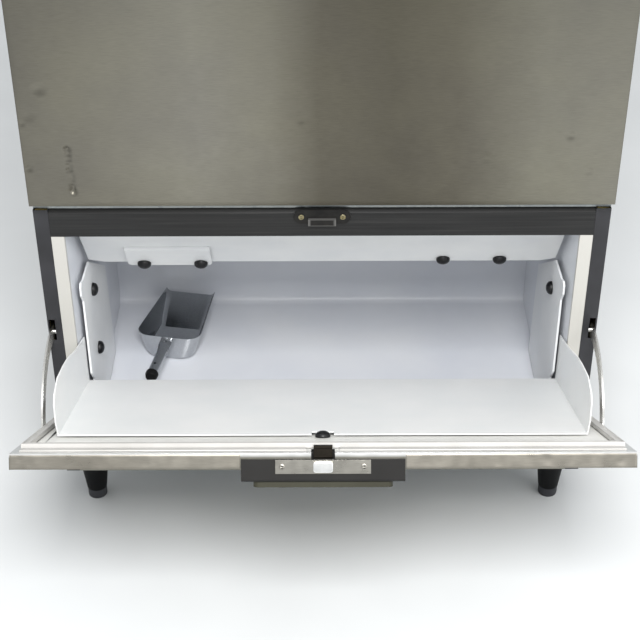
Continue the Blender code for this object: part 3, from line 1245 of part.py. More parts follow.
def upper_panels():
    """Stainless panels round the machine, with room for the intake grille and the switch in front."""
    side = HALF_WIDTH
    inner = side - SHEET
    outline = [(-side, PANEL_FACE), (side, PANEL_FACE), (side, PANEL_RETURN), (inner, PANEL_RETURN),
               (inner, PANEL_FACE + SHEET), (-inner, PANEL_FACE + SHEET), (-inner, PANEL_RETURN),
               (-side, PANEL_RETURN)]
    front = finish_object("upper_front_panel", prism(2, outline, PANEL_LOW, PANEL_TOP), STAINLESS)
    join(front, boxes(((-inner - SHEET / 2, PANEL_FACE + SHEET / 2, PANEL_LOW),
                       (inner + SHEET / 2, PANEL_RETURN, PANEL_LOW + SHEET))), "bottom_return")
    cut(front, boxes(((GRILLE_LEFT, PANEL_FACE - CUT_OVERRUN, GRILLE_LOW),
                      (GRILLE_RIGHT, PANEL_FACE + SHEET + CUT_OVERRUN, GRILLE_TOP))), "grille_opening")
    casing = wrap_casing("upper_casing", PANEL_RETURN + GAP, BASE_TOP + GAP, PANEL_TOP)
    slots = bmesh.new()
    for step in range(VENT_COUNT):
        low = BASE_TOP + VENT_RISE + step * VENT_PITCH
        add_box(slots, (CONDENSER_LEFT, CABINET_DEPTH - CUT_OVERRUN, low),
                (CONDENSER_RIGHT, CABINET_DEPTH + CUT_OVERRUN, low + VENT_PITCH / 2))
    cut(casing, slots, "vents")
    top = box_piece("top_panel", (-side, PANEL_FACE, MACHINE_TOP - SHEET), (side, CABINET_DEPTH, MACHINE_TOP),
                    STAINLESS)
    flange = inner - GAP
    low = MACHINE_TOP - TOP_TURN_DOWN
    rim = boxes(((-flange, PANEL_FACE + SHEET + GAP, low),
                 (flange, CABINET_DEPTH - SHEET - GAP, MACHINE_TOP - SHEET / 2)))
    join(top, rim, "turn_down")
    cut(top, boxes(((-flange + SHEET, PANEL_FACE + 2 * SHEET + GAP, low - CUT_OVERRUN),
                    (flange - SHEET, CABINET_DEPTH - 2 * SHEET - GAP, MACHINE_TOP - SHEET))), "inside")


def grille_and_filter():
    """Louvred grille that pulls off forward with the filter behind it."""
    left, right = GRILLE_LEFT + GAP, GRILLE_RIGHT - GAP
    low, high = GRILLE_LOW + GAP, GRILLE_TOP - GAP
    back = PANEL_FACE + GRILLE_THICKNESS
    grille = box_piece("intake_grille", (left, PANEL_FACE, low), (right, back, high), DARK_PLASTIC)
    border = FILTER_BORDER
    pitch = (high - low - 2 * border) / LOUVRE_COUNT
    slots = bmesh.new()
    for step in range(LOUVRE_COUNT):
        start = low + border + pitch * (step + LOUVRE_SHARE / 2)
        add_box(slots, (left + border, PANEL_FACE - CUT_OVERRUN, start),
                (right - border, back + CUT_OVERRUN, start + pitch * LOUVRE_SHARE))
    cut(grille, slots, "louvres")
    front = back + GAP
    sheet = box_piece("air_filter", (left, front, low), (right, front + FILTER_THICKNESS, high),
                      WHITE_PLASTIC)
    wide = (right - left - 2 * border) / FILTER_CELLS_X
    tall = (high - low - 2 * border) / FILTER_CELLS_Z
    cells = bmesh.new()
    for column in range(FILTER_CELLS_X):
        for row in range(FILTER_CELLS_Z):
            start = (left + border + column * wide + FILTER_RIB / 2,
                     low + border + row * tall + FILTER_RIB / 2)
            add_box(cells, (start[0], front - CUT_OVERRUN, start[1]),
                    (start[0] + wide - FILTER_RIB, front + FILTER_THICKNESS + CUT_OVERRUN,
                     start[1] + tall - FILTER_RIB))
    cut(sheet, cells, "cells")


# Machine section: freezing unit


def freezing_unit():
    """Side plates with cross rails, the cell evaporator hung from them and the tilting tray below."""
    left, right = FRAME_LEFT, FRAME_RIGHT
    low, high = BASE_TOP + GAP, BASE_TOP + FRAME_HEIGHT
    frame = finish_object("freezing_frame", boxes(
        ((left, FRAME_FRONT, low), (left + FRAME_SHEET, FRAME_BACK, high)),
        ((right - FRAME_SHEET, FRAME_FRONT, low), (right, FRAME_BACK, high))), GALVANISED)
    rails = bmesh.new()
    for start in (FRAME_FRONT, FRAME_BACK - RAIL_WIDTH):
        add_box(rails, (left + FRAME_SHEET / 2, start, high - FRAME_SHEET),
                (right - FRAME_SHEET / 2, start + RAIL_WIDTH, high))
    join(frame, rails, "rails")
    inner_left, inner_right = left + FRAME_SHEET, right - FRAME_SHEET
    bottom = BASE_TOP + EVAPORATOR_RISE
    top = bottom + EVAPORATOR_HEIGHT
    front, back = FRAME_FRONT + EVAPORATOR_INSET, FRAME_BACK - 2 * EVAPORATOR_INSET
    cold_left, cold_right = inner_left + EVAPORATOR_INSET, inner_right - EVAPORATOR_INSET
    evaporator = box_piece("evaporator", (cold_left, front, bottom), (cold_right, back, top), COPPER)
    cells = bmesh.new()
    wide = (cold_right - cold_left - CELL_WALL) / CELL_COUNT_X
    deep = (back - front - CELL_WALL) / CELL_COUNT_Y
    for column in range(CELL_COUNT_X):
        for row in range(CELL_COUNT_Y):
            start = (cold_left + CELL_WALL + column * wide, front + CELL_WALL + row * deep)
            add_box(cells, (start[0], start[1], bottom - CUT_OVERRUN),
                    (start[0] + wide - CELL_WALL, start[1] + deep - CELL_WALL, top - CELL_WALL))
    cut(evaporator, cells, "cells")
    hangers = bmesh.new()
    for x in (cold_left, cold_right - CELL_WALL):
        for y in (front, back - CELL_WALL):
            add_box(hangers, (x, y, top - CELL_WALL / 2),
                    (x + CELL_WALL, y + CELL_WALL, high - FRAME_SHEET - GAP))
    join(evaporator, hangers, "hangers")
    water_tray(frame, inner_left, inner_right, front, bottom - TRAY_GAP)


def water_tray(frame, inner_left, inner_right, front, top):
    """Tilting tray on two pins at its rear, with the tank and pump that hang under it."""
    low = top - TRAY_THICKNESS
    left, right = inner_left + TRAY_PLAY, inner_right - TRAY_PLAY
    pivot_y = FRAME_BACK - TRAY_PIVOT_INSET
    middle = (low + top) / 2
    back = pivot_y + 2 * TRAY_PIN_RADIUS
    tray = box_piece("water_tray", (left, front, low), (right, back, top), WHITE_PLASTIC)
    cut(tray, boxes(((left + TRAY_RIM, front + TRAY_RIM, middle),
                     (right - TRAY_RIM, pivot_y - TRAY_RIM, top + CUT_OVERRUN))), "dish")
    tank_right = right - TANK_INSET - 2 * PUMP_RADIUS
    cut(tray, boxes(((left + 2 * TANK_INSET, front + TANK_INSET + TRAY_RIM, low - CUT_OVERRUN),
                     (tank_right - TANK_INSET, front + TANK_INSET + 2 * TRAY_RIM, top))), "return_slot")
    pins = bmesh.new()
    reach = TRAY_PLAY + FRAME_SHEET / 2 + TRAY_RIM
    for start in (left + TRAY_RIM, right - TRAY_RIM):
        side = -1 if start < (left + right) / 2 else 1
        add_rod(pins, (start, pivot_y, middle), (side, 0, 0), TRAY_PIN_RADIUS, reach, KNOB_SEGMENTS)
    join(tray, pins, "pins")
    holes = bmesh.new()
    for start, side in ((inner_left, -1), (inner_right, 1)):
        add_rod(holes, (start - side * CUT_OVERRUN, pivot_y, middle), (side, 0, 0),
                TRAY_PIN_RADIUS + PIN_CLEARANCE, FRAME_SHEET + 2 * CUT_OVERRUN, KNOB_SEGMENTS)
    cut(frame, holes, "tray_pin_holes")
    tank_left = left + TANK_INSET
    tank_front, tank_back = front + TANK_INSET, pivot_y - TANK_INSET
    tank_top, tank_low = low - GAP, low - TANK_DEPTH
    tank = box_piece("water_tank", (tank_left, tank_front, tank_low), (tank_right, tank_back, tank_top),
                     WHITE_PLASTIC)
    pump = bmesh.new()
    pump_x, pump_y = tank_right + PUMP_RADIUS - TANK_WALL / 2, (tank_front + tank_back) / 2
    add_rod(pump, (pump_x, pump_y, tank_low), (0, 0, 1),
            PUMP_RADIUS, PUMP_HEIGHT)
    join(tank, pump, "pump")
    cut(tank, boxes(((tank_left + TANK_WALL, tank_front + TANK_WALL, tank_low + TANK_WALL),
                     (tank_right - TANK_WALL, tank_back - TANK_WALL, tank_top + CUT_OVERRUN))), "water_space")


# Machine section: refrigeration set


def compressor():
    half = COMPRESSOR_FEET_SPACING / 2
    plate_half = half + COMPRESSOR_PLATE_MARGIN
    floor = BASE_TOP + GAP
    plate_low = floor + COMPRESSOR_FOOT_RADIUS
    body_low = plate_low + COMPRESSOR_PLATE / 2
    shell = bmesh.new()
    straight = COMPRESSOR_HEIGHT - COMPRESSOR_DOME
    profile = [(0, 0), (COMPRESSOR_RADIUS, 0), (COMPRESSOR_RADIUS, straight)]
    steps = 5
    for step in range(1, steps):
        turn = math.pi / 2 * step / steps
        profile.append((COMPRESSOR_RADIUS * math.cos(turn), straight + COMPRESSOR_DOME * math.sin(turn)))
    profile.append((0, COMPRESSOR_HEIGHT))
    add_turned(shell, profile, (COMPRESSOR_X, COMPRESSOR_Y, body_low), (0, 0, 1), ROUND_SEGMENTS)
    machine = finish_object("compressor", shell, BLACK_ENAMEL)
    join(machine, boxes(((COMPRESSOR_X - plate_half, COMPRESSOR_Y - plate_half, plate_low),
                         (COMPRESSOR_X + plate_half, COMPRESSOR_Y + plate_half,
                          plate_low + COMPRESSOR_PLATE))),
         "plate")
    feet = bmesh.new()
    for x in (-half, half):
        for y in (-half, half):
            add_rod(feet, (COMPRESSOR_X + x, COMPRESSOR_Y + y, floor), (0, 0, 1), COMPRESSOR_FOOT_RADIUS,
                    COMPRESSOR_FOOT_RADIUS + COMPRESSOR_PLATE / 2, KNOB_SEGMENTS)
    join(machine, feet, "feet")
    round_shading(machine)


def condenser():
    """Finned block behind the intake grille."""
    low, high = BASE_TOP + GAP, BASE_TOP + CONDENSER_HEIGHT
    front, back = CONDENSER_FRONT, CONDENSER_FRONT + CONDENSER_DEPTH
    core = CONDENSER_DEPTH * CONDENSER_CORE_SHARE / 2
    block = box_piece("condenser", (CONDENSER_LEFT, front + core, low),
                      (CONDENSER_RIGHT, back - core, high), COPPER)
    pitch = (CONDENSER_RIGHT - CONDENSER_LEFT) / (CONDENSER_FINS - CONDENSER_FIN_SHARE)
    fins = bmesh.new()
    for step in range(CONDENSER_FINS):
        start = CONDENSER_LEFT + step * pitch
        add_box(fins, (start, front, low), (start + pitch * CONDENSER_FIN_SHARE, back, high))
    join(block, fins, "fins")


def fan_and_motor():
    """Fan that draws air through the condenser, on a motor with its standing bracket."""
    x = (CONDENSER_LEFT + CONDENSER_RIGHT) / 2
    z = BASE_TOP + FAN_HEIGHT
    start = CONDENSER_FRONT + CONDENSER_DEPTH + FAN_SETBACK - FAN_HUB_LENGTH / 2
    motor_front = start + MOTOR_SHAFT_LENGTH
    motor_back = motor_front + MOTOR_LENGTH
    motor = bmesh.new()
    add_turned(motor, ((0, start), (MOTOR_SHAFT_RADIUS, start), (MOTOR_SHAFT_RADIUS, motor_front),
                       (MOTOR_RADIUS, motor_front), (MOTOR_RADIUS, motor_back), (0, motor_back)),
               (x, 0, z), (0, 1, 0), ROUND_SEGMENTS)
    body = finish_object("fan_motor", motor, BLACK_ENAMEL)
    half = MOTOR_BRACKET_WIDTH / 2
    low = BASE_TOP + GAP
    sheet = MOTOR_BRACKET_SHEET
    angle = [(motor_back - MOTOR_BRACKET_WIDTH, low), (motor_back + sheet / 2, low),
             (motor_back + sheet / 2, z + MOTOR_RADIUS), (motor_back - sheet / 2, z + MOTOR_RADIUS),
             (motor_back - sheet / 2, low + sheet), (motor_back - MOTOR_BRACKET_WIDTH, low + sheet)]
    join(body, prism(0, angle, x - half, x + half), "bracket")
    axis = empty_on("fan_axis", (x, start + FAN_HUB_LENGTH / 2, z))
    hub = bmesh.new()
    add_rod(hub, (0, -FAN_HUB_LENGTH / 2, 0), (0, 1, 0), FAN_HUB_RADIUS, FAN_HUB_LENGTH)
    fan = finish_object("fan", hub, GALVANISED, axis)
    blades = bmesh.new()
    for step in range(FAN_BLADES):
        added = bmesh.new()
        add_box(added, (-FAN_BLADE_WIDTH / 2, -FAN_BLADE_SHEET / 2, FAN_HUB_RADIUS - FAN_BLADE_SHEET),
                (FAN_BLADE_WIDTH / 2, FAN_BLADE_SHEET / 2, FAN_RADIUS))
        around = Matrix.Rotation(math.tau * step / FAN_BLADES, 4, "Y")
        turn = around @ Matrix.Rotation(FAN_BLADE_PITCH, 4, "Z")
        added.transform(turn)
        piece = bpy.data.meshes.new("blade")
        added.to_mesh(piece)
        added.free()
        blades.from_mesh(piece)
        bpy.data.meshes.remove(piece)
    join(fan, blades, "blades")
    bore = bmesh.new()
    add_rod(bore, (0, -FAN_HUB_LENGTH, 0), (0, 1, 0), MOTOR_SHAFT_RADIUS + PIN_CLEARANCE, 2 * FAN_HUB_LENGTH)
    cut(fan, bore, "shaft_bore")


def control_box():
    back = CABINET_DEPTH - SHEET - GAP
    low = MACHINE_TOP - CONTROL_HEADROOM - CONTROL_HEIGHT
    box_piece("control_box", (CONTROL_LEFT, back - CONTROL_DEPTH, low),
              (CONTROL_RIGHT, back, low + CONTROL_HEIGHT),
              GALVANISED)


# Whole part


def centre_in_depth():
    """Move everything so that the part, its door open, is centred front to back on the origin."""
    bpy.context.view_layer.update()
    graph = bpy.context.evaluated_depsgraph_get()
    depths = []
    for thing in bpy.data.objects:
        if thing.type != "MESH" or thing.hide_render:
            continue
        solid = thing.evaluated_get(graph)
        depths += [(solid.matrix_world @ vert.co).y for vert in solid.data.vertices]
    shift = -(min(depths) + max(depths)) / 2
    for thing in bpy.data.objects:
        if thing.parent is None:
            thing.location.y += shift
    print(f"shifted in depth by {shift:.6f} m")


start_scene()
bin_shell()
front_posts()
bin_liner()
bin_insulation()
head_strip()
striker()
front_apron()
level_sensor_bracket()
side_guards()
bin_knobs()
bin_drain()
liner_drain_hole()
legs_and_adjusters()
door_assembly()
scoop()
machine_base()
upper_panels()
grille_and_filter()
freezing_unit()
compressor()
condenser()
fan_and_motor()
control_box()
centre_in_depth()
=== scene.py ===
import json
import math
import bpy
from mathutils import Matrix, Vector

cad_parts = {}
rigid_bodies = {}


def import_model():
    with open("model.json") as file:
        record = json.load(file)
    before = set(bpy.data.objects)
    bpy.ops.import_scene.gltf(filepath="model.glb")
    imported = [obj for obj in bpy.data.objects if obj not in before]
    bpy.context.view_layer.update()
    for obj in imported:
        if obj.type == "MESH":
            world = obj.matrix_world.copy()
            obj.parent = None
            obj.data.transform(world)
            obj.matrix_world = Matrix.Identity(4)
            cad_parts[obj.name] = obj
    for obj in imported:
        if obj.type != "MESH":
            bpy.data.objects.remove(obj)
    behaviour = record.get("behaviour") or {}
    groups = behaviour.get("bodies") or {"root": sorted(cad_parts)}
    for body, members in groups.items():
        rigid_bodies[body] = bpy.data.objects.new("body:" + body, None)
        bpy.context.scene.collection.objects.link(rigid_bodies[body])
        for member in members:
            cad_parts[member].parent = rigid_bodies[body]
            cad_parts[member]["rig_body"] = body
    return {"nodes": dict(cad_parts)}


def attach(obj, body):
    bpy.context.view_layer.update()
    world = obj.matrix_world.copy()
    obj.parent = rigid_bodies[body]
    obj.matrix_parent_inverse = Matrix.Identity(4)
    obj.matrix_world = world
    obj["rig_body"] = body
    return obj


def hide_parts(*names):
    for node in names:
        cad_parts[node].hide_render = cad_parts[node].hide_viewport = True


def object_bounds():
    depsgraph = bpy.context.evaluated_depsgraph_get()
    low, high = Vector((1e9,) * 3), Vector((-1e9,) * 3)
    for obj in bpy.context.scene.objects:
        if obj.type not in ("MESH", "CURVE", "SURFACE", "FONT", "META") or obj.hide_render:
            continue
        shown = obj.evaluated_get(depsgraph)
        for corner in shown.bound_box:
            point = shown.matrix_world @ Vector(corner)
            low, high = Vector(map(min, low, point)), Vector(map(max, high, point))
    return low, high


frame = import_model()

cad_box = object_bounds()
nodes = frame["nodes"]
bpy.context.scene.view_settings.view_transform = "Standard"


# ---- Camera ----
# The machine is seen by someone who stands two and a half metres in front of it
# and looks down into the open bin with a long lens.
CAMERA_PLACE = (-0.0045, -2.436236, 2.128)
CAMERA_TILT = math.radians(55.4)
CAMERA_ROLL = math.radians(-0.19)
CAMERA_LENS = 81.56

bpy.ops.object.camera_add()
camera = bpy.context.object
camera.data.lens = CAMERA_LENS
camera.matrix_world = (Matrix.Translation(CAMERA_PLACE)
                       @ Matrix.Rotation(CAMERA_TILT, 4, "X")
                       @ Matrix.Rotation(CAMERA_ROLL, 4, "Z"))
bpy.context.scene.camera = camera


# ---- Floor and light ----
# A plain pale studio floor, a large soft lamp over the camera, a second one from
# the right, and an even pale surround that the steel reflects.
FLOOR_SIZE = 60
FLOOR_COLOUR = "e1e3e4"
SURROUND_COLOUR = "e6e8e9"
SURROUND_STRENGTH = 0.8
KEY_PLACE = (0.1, -2.5, 3.25)
KEY_AIM = (0, 0, 0.55)
KEY_SIZE = 1.2
KEY_POWER = 140
FILL_PLACE = (2.6, -2.0, 2.2)
FILL_SIZE = 2.5
FILL_POWER = 34


def linear(hex_colour):
    """The linear colour of an sRGB hex colour such as 8f8d82."""
    channels = [int(hex_colour[i:i + 2], 16) / 255 for i in (0, 2, 4)]
    return [c / 12.92 if c <= 0.04045 else ((c + 0.055) / 1.055) ** 2.4 for c in channels] + [1]


def add_node(tree, kind, inputs=(), stops=(), **settings):
    """One node with its settings, its inputs' values or links, and a colour ramp's stops."""
    node = tree.nodes.new("ShaderNode" + kind)
    for name, value in settings.items():
        setattr(node, name, value)
    for name, value in dict(inputs).items():
        socket = next(s for s in node.inputs if name in (s.identifier, s.name))
        if isinstance(value, bpy.types.NodeSocket):
            tree.links.new(value, socket)
        else:
            socket.default_value = value
    for number, (place, colour) in enumerate(stops):
        ramp = node.color_ramp.elements
        if number == 0:
            ramp.remove(ramp[1])
        element = ramp.new(place) if number else ramp[0]
        element.position = place
        element.color = linear(colour)
    return node


def new_material(name, metallic=0.0, **sockets):
    """A Principled material, its node tree and its shader, with constant numbers on the sockets."""
    material = bpy.data.materials.new(name)
    material.use_nodes = True
    shader = material.node_tree.nodes["Principled BSDF"]
    shader.inputs["Metallic"].default_value = metallic
    for socket, value in sockets.items():
        shader.inputs[socket.replace("_", " ")].default_value = value
    return material, material.node_tree, shader


def paint(piece, material):
    """The piece's only material."""
    piece.data.materials.clear()
    piece.data.materials.append(material)


def lamp(name, place, aim, size, power):
    """A square soft lamp that faces a point."""
    bpy.ops.object.light_add(type="AREA", location=place)
    light = bpy.context.object
    light.name = name
    light.data.size = size
    light.data.energy = power
    light.rotation_euler = (Vector(aim) - Vector(place)).to_track_quat("-Z", "Y").to_euler()


lamp("key_lamp", KEY_PLACE, KEY_AIM, KEY_SIZE, KEY_POWER)
lamp("fill_lamp", FILL_PLACE, KEY_AIM, FILL_SIZE, FILL_POWER)

bpy.ops.mesh.primitive_plane_add(size=FLOOR_SIZE)
floor = bpy.context.object
floor.name = "studio_floor"
# rolled matt paper, which takes a soft shadow and no reflection
floor_paper, tree, shader = new_material("matt_studio_paper", Roughness=0.9)
position = add_node(tree, "TexCoord").outputs["Object"]
mottle = add_node(tree, "TexNoise", {"Vector": position, "Scale": 3.0})
tone = add_node(tree, "ValToRGB", {"Fac": mottle.outputs["Fac"]},
                stops=[(0.3, FLOOR_COLOUR), (0.7, SURROUND_COLOUR)])
tree.links.new(tone.outputs["Color"], shader.inputs["Base Color"])
paint(floor, floor_paper)

surround = bpy.data.worlds.new("pale_surround")
bpy.context.scene.world = surround
surround.use_nodes = True
tree = surround.node_tree
rays = add_node(tree, "LightPath").outputs
plain = add_node(tree, "Background",
                 {"Color": linear(SURROUND_COLOUR), "Strength": SURROUND_STRENGTH})
bright = add_node(tree, "Background", {"Color": linear(SURROUND_COLOUR), "Strength": 1.0})
seen = add_node(tree, "Math", {"Value": rays["Is Camera Ray"], "Value_001": rays["Is Glossy Ray"]},
                operation="MAXIMUM")
seen = add_node(tree, "Math", {"Value": seen.outputs[0], "Value_001": rays["Is Transmission Ray"]},
                operation="MAXIMUM")
either = add_node(tree, "MixShader", {"Fac": seen.outputs[0], "Shader": plain.outputs[0],
                                      "Shader_001": bright.outputs[0]})
tree.links.new(either.outputs[0], tree.nodes["World Output"].inputs["Surface"])


# ---- Front panel of the machine section ----
# One folded sheet of 1.2 mm stainless steel with 38 mm returns, cut out for the
# intake grille. Years of knocks have left dents in it, and a crease at the left.
PANEL_HALF = 0.540
PANEL_LOW = 0.7853
PANEL_HIGH = 1.4835
PANEL_FACE = -0.120236
PANEL_RETURN = 0.038
PANEL_SHEET = 0.0012
PANEL_CELL = 0.010
GRILLE_OPENING = (0.130, 0.510, 1.2053, 1.4253)
# x, z, radius and depth of each dent, in metres
PANEL_DENTS = ((-0.5271, 0.8664, 0.010, 0.0018), (-0.5331, 0.9549, 0.008, 0.0012),
               (-0.496, 1.022, 0.018, 0.0016), (-0.521, 0.970, 0.018, 0.0012),
               (-0.037, 0.961, 0.012, 0.0010), (0.297, 0.884, 0.018, 0.0012),
               (0.446, 0.9285, 0.012, 0.0014), (0.484, 0.8565, 0.012, 0.0010),
               (0.018, 0.860, 0.030, 0.0006), (-0.4543, 0.8185, 0.012, 0.0032),
               (-0.4585, 0.9027, 0.010, 0.0024))
# the two ends of the crease, its radius and the depth of each step along it
PANEL_CREASE = ((-0.4585, 0.9027), (-0.4543, 0.8185), 0.009, 0.0030)
CREASE_STEPS = 9
# every third step of the crease is pressed deeper than the others
CREASE_DEEP = 1.3
CREASE_SHALLOW = 0.8
DENT_CUTS = 3
PANEL_FOLD = 0.0024
PANEL_EDGE = 0.0003
# how many grains of a level brushing lie in a metre along x, y and z
LEVEL_GRAIN = (60, 60, 1200)
# places closer than this are the same
TOUCH = 0.0001


def only(piece):
    """Nothing but this piece is selected, and it is the active one."""
    bpy.ops.object.select_all(action="DESELECT")
    piece.select_set(True)
    bpy.context.view_layer.objects.active = piece


def pick(piece, kind, wanted):
    """In edit mode: selects only the vertices, edges or faces for which wanted(element) is true."""
    bpy.ops.mesh.select_mode(type=kind)
    bpy.ops.mesh.select_all(action="DESELECT")
    bpy.ops.object.mode_set(mode="OBJECT")
    parts = {"VERT": piece.data.vertices, "EDGE": piece.data.edges, "FACE": piece.data.polygons}[kind]
    for element in parts:
        element.select = wanted(element)
    bpy.ops.object.mode_set(mode="EDIT")


def middle(piece, element):
    """The middle of an edge or face."""
    corners = [piece.data.vertices[i].co for i in element.vertices]
    return sum(corners, Vector()) / len(corners)


def end_edit():
    """Turns all faces outwards and leaves edit mode."""
    bpy.ops.mesh.select_all(action="SELECT")
    bpy.ops.mesh.normals_make_consistent(inside=False)
    bpy.ops.object.mode_set(mode="OBJECT")


def use_modifier(piece, kind, **settings):
    """One modifier with its settings, applied."""
    only(piece)
    modifier = piece.modifiers.new(kind.lower(), kind)
    for name, value in settings.items():
        setattr(modifier, name, value)
    bpy.ops.object.modifier_apply(modifier=modifier.name)


def round_edges(piece, width, segments, degrees):
    """Rounds the edges that are sharper than an angle."""
    use_modifier(piece, "BEVEL", width=width, segments=segments, limit_method="ANGLE",
                 angle_limit=math.radians(degrees))


def smooth(piece, degrees=35):
    """Soft shading over all but the sharper edges."""
    only(piece)
    bpy.ops.object.shade_smooth_by_angle(angle=math.radians(degrees))


def settle(piece):
    """The piece's place goes into its mesh, and its object to the origin."""
    only(piece)
    bpy.ops.object.transform_apply(location=True, rotation=True, scale=True)


def press(piece, place, radius, depth, facing=(0, 1, 0)):
    """In edit mode: pushes the vertices round a place in, less and less out to the radius."""
    near = min(piece.data.vertices, key=lambda v: (v.co - Vector(place)).length).index
    pick(piece, "VERT", lambda v: v.index == near)
    bpy.ops.transform.translate(value=Vector(facing) * depth, use_proportional_edit=True,
                                proportional_edit_falloff="SMOOTH", proportional_size=radius)


def stainless_sheet(name, tone, roughness, brushing, painted_reflection_band=None):
    """Cold-rolled stainless sheet: fine brushed grain, cloudy tarnish and rubbed spots in the gloss."""
    material, tree, shader = new_material(name, metallic=1.0)
    position = add_node(tree, "TexCoord").outputs["Object"]
    # the grain of a 180 grit belt is about 0.1 mm apart, drawn at 0.8 mm so that it shows
    grain_place = add_node(tree, "Mapping", {"Vector": position, "Scale": brushing})
    grain = add_node(tree, "TexNoise", {"Vector": grain_place.outputs[0], "Scale": 1.0, "Detail": 4.0})
    # the clouds of tarnish are some 20 cm wide, the smears of cleaning 3 cm
    clouds = add_node(tree, "TexNoise", {"Vector": position, "Scale": 5.0, "Detail": 3.0,
                                         "Roughness": 0.55})
    smears = add_node(tree, "TexNoise", {"Vector": position, "Scale": 38.0, "Detail": 4.0})
    colour = add_node(tree, "ValToRGB", {"Fac": clouds.outputs["Fac"]},
                      stops=[(0.32, tone[0]), (0.66, tone[1])])
    streak = add_node(tree, "MapRange", {"Value": grain.outputs["Fac"], "From Min": 0.3,
                                         "From Max": 0.7, "To Min": 0.90, "To Max": 1.06})
    result = add_node(tree, "Mix", {"Factor_Float": 1.0, "A_Color": colour.outputs["Color"],
                                    "B_Color": streak.outputs[0]},
                      data_type="RGBA", blend_type="MULTIPLY").outputs[2]
    # painted reflection: broad upright bands of darker and lighter colour across x, for parts of the room
    # mirrored in the sheet
    if painted_reflection_band:
        across = add_node(tree, "SeparateXYZ", {"Vector": position}).outputs["X"]
        sway = add_node(tree, "MapRange", {"Value": clouds.outputs["Fac"], "To Min": -0.03,
                                           "To Max": 0.03}).outputs[0]
        across = add_node(tree, "Math", {"Value": across, "Value_001": sway}, operation="ADD")
        place = add_node(tree, "MapRange", {"Value": across.outputs[0], "From Min": -PANEL_HALF,
                                            "From Max": PANEL_HALF})
        shade = add_node(tree, "ValToRGB", {"Fac": place.outputs[0]}, stops=painted_reflection_band)
        result = add_node(tree, "Mix", {"Factor_Float": 1.0, "A_Color": result,
                                        "B_Color": shade.outputs["Color"]},
                          data_type="RGBA", blend_type="MULTIPLY").outputs[2]
    tree.links.new(result, shader.inputs["Base Color"])
    gloss = add_node(tree, "MapRange", {"Value": smears.outputs["Fac"], "From Min": 0.3,
                                        "From Max": 0.7, "To Min": roughness[0],
                                        "To Max": roughness[1]})
    tree.links.new(gloss.outputs[0], shader.inputs["Roughness"])
    relief = add_node(tree, "Bump", {"Height": grain.outputs["Fac"], "Strength": 0.12,
                                     "Distance": 0.0002})
    tree.links.new(relief.outputs[0], shader.inputs["Normal"])
    return material


cells = (round(2 * PANEL_HALF / PANEL_CELL), round((PANEL_HIGH - PANEL_LOW) / PANEL_CELL))
bpy.ops.mesh.primitive_grid_add(x_subdivisions=cells[0], y_subdivisions=cells[1], size=1,
                                location=(0, PANEL_FACE, PANEL_LOW + cells[1] * PANEL_CELL / 2),
                                rotation=(math.pi / 2, 0, 0))
front_panel = bpy.context.object
front_panel.name = "front_panel"
front_panel.scale = (2 * PANEL_HALF, cells[1] * PANEL_CELL, 1)
settle(front_panel)
bpy.ops.object.mode_set(mode="EDIT")
left, right, low, high = GRILLE_OPENING


def in_grille_opening(face):
    place = middle(front_panel, face)
    return left < place.x < right and low < place.z < high


pick(front_panel, "FACE", in_grille_opening)
bpy.ops.mesh.delete(type="FACE")


def near_a_dent(face):
    place = middle(front_panel, face)
    start, end, reach, depth = PANEL_CREASE
    on_crease = (start[0] - 2 * reach < place.x < end[0] + 2 * reach
                 and end[1] - reach < place.z < start[1] + reach)
    return on_crease or any(math.hypot(place.x - x, place.z - z) < reach + PANEL_CELL
                            for x, z, reach, depth in PANEL_DENTS)


pick(front_panel, "FACE", near_a_dent)
bpy.ops.mesh.subdivide(number_cuts=DENT_CUTS)
for x, z, reach, depth in PANEL_DENTS:
    press(front_panel, (x, PANEL_FACE, z), reach, depth)
start, end, reach, depth = PANEL_CREASE
for step in range(CREASE_STEPS):
    share = step / (CREASE_STEPS - 1)
    place = (start[0] + (end[0] - start[0]) * share, PANEL_FACE, start[1] + (end[1] - start[1]) * share)
    press(front_panel, place, reach, depth * (CREASE_DEEP if step % 3 == 1 else CREASE_SHALLOW))
top_row = max(v.co.z for v in front_panel.data.vertices)
pick(front_panel, "VERT", lambda v: v.co.z > top_row - PANEL_CELL / 4)
bpy.ops.transform.translate(value=(0, 0, PANEL_HIGH - top_row))


def on_outer_edge(edge):
    place = middle(front_panel, edge)
    ends = [front_panel.data.vertices[i].co for i in edge.vertices]
    off_end = min(abs(place.z - PANEL_LOW), abs(place.z - PANEL_HIGH))
    upright = abs(ends[0].x - ends[1].x) < TOUCH / 10 and abs(abs(place.x) - PANEL_HALF) < TOUCH
    level = abs(ends[0].z - ends[1].z) < TOUCH / 10 and off_end < TOUCH
    along = abs(ends[0].y - ends[1].y) < TOUCH and abs(place.y - PANEL_FACE) < PANEL_RETURN / 2
    return (upright or level) and along


pick(front_panel, "EDGE", on_outer_edge)
bpy.ops.mesh.extrude_region_move(TRANSFORM_OT_translate={"value": (0, PANEL_RETURN, 0)})
pick(front_panel, "EDGE", on_outer_edge)
bpy.ops.mesh.bevel(offset=PANEL_FOLD, segments=3)
end_edit()
use_modifier(front_panel, "SOLIDIFY", thickness=PANEL_SHEET, offset=-1)
round_edges(front_panel, PANEL_EDGE, segments=2, degrees=60)
smooth(front_panel)
# brushed level with a 180 grit belt, with broad upright bands of painted reflection across its
# width: darker and lighter colour that stands for darker and lighter parts of the room in the sheet
brushed_front = stainless_sheet("brushed_stainless_front", ("807d75", "878479"), roughness=(0.28, 0.36),
                                brushing=LEVEL_GRAIN,
                                painted_reflection_band=[(0.0, "e0dfdc"), (0.10, "eae9e6"), (0.30, "ffffff"),
                                      (0.42, "ecebe8"), (0.50, "c0bdb8"), (0.62, "b5b2ac"),
                                      (0.72, "c4c1bb"), (0.86, "f0f0ec"), (1.0, "f8f8f6")])
paint(front_panel, brushed_front)
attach(front_panel, "cabinet")
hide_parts("upper_front_panel")


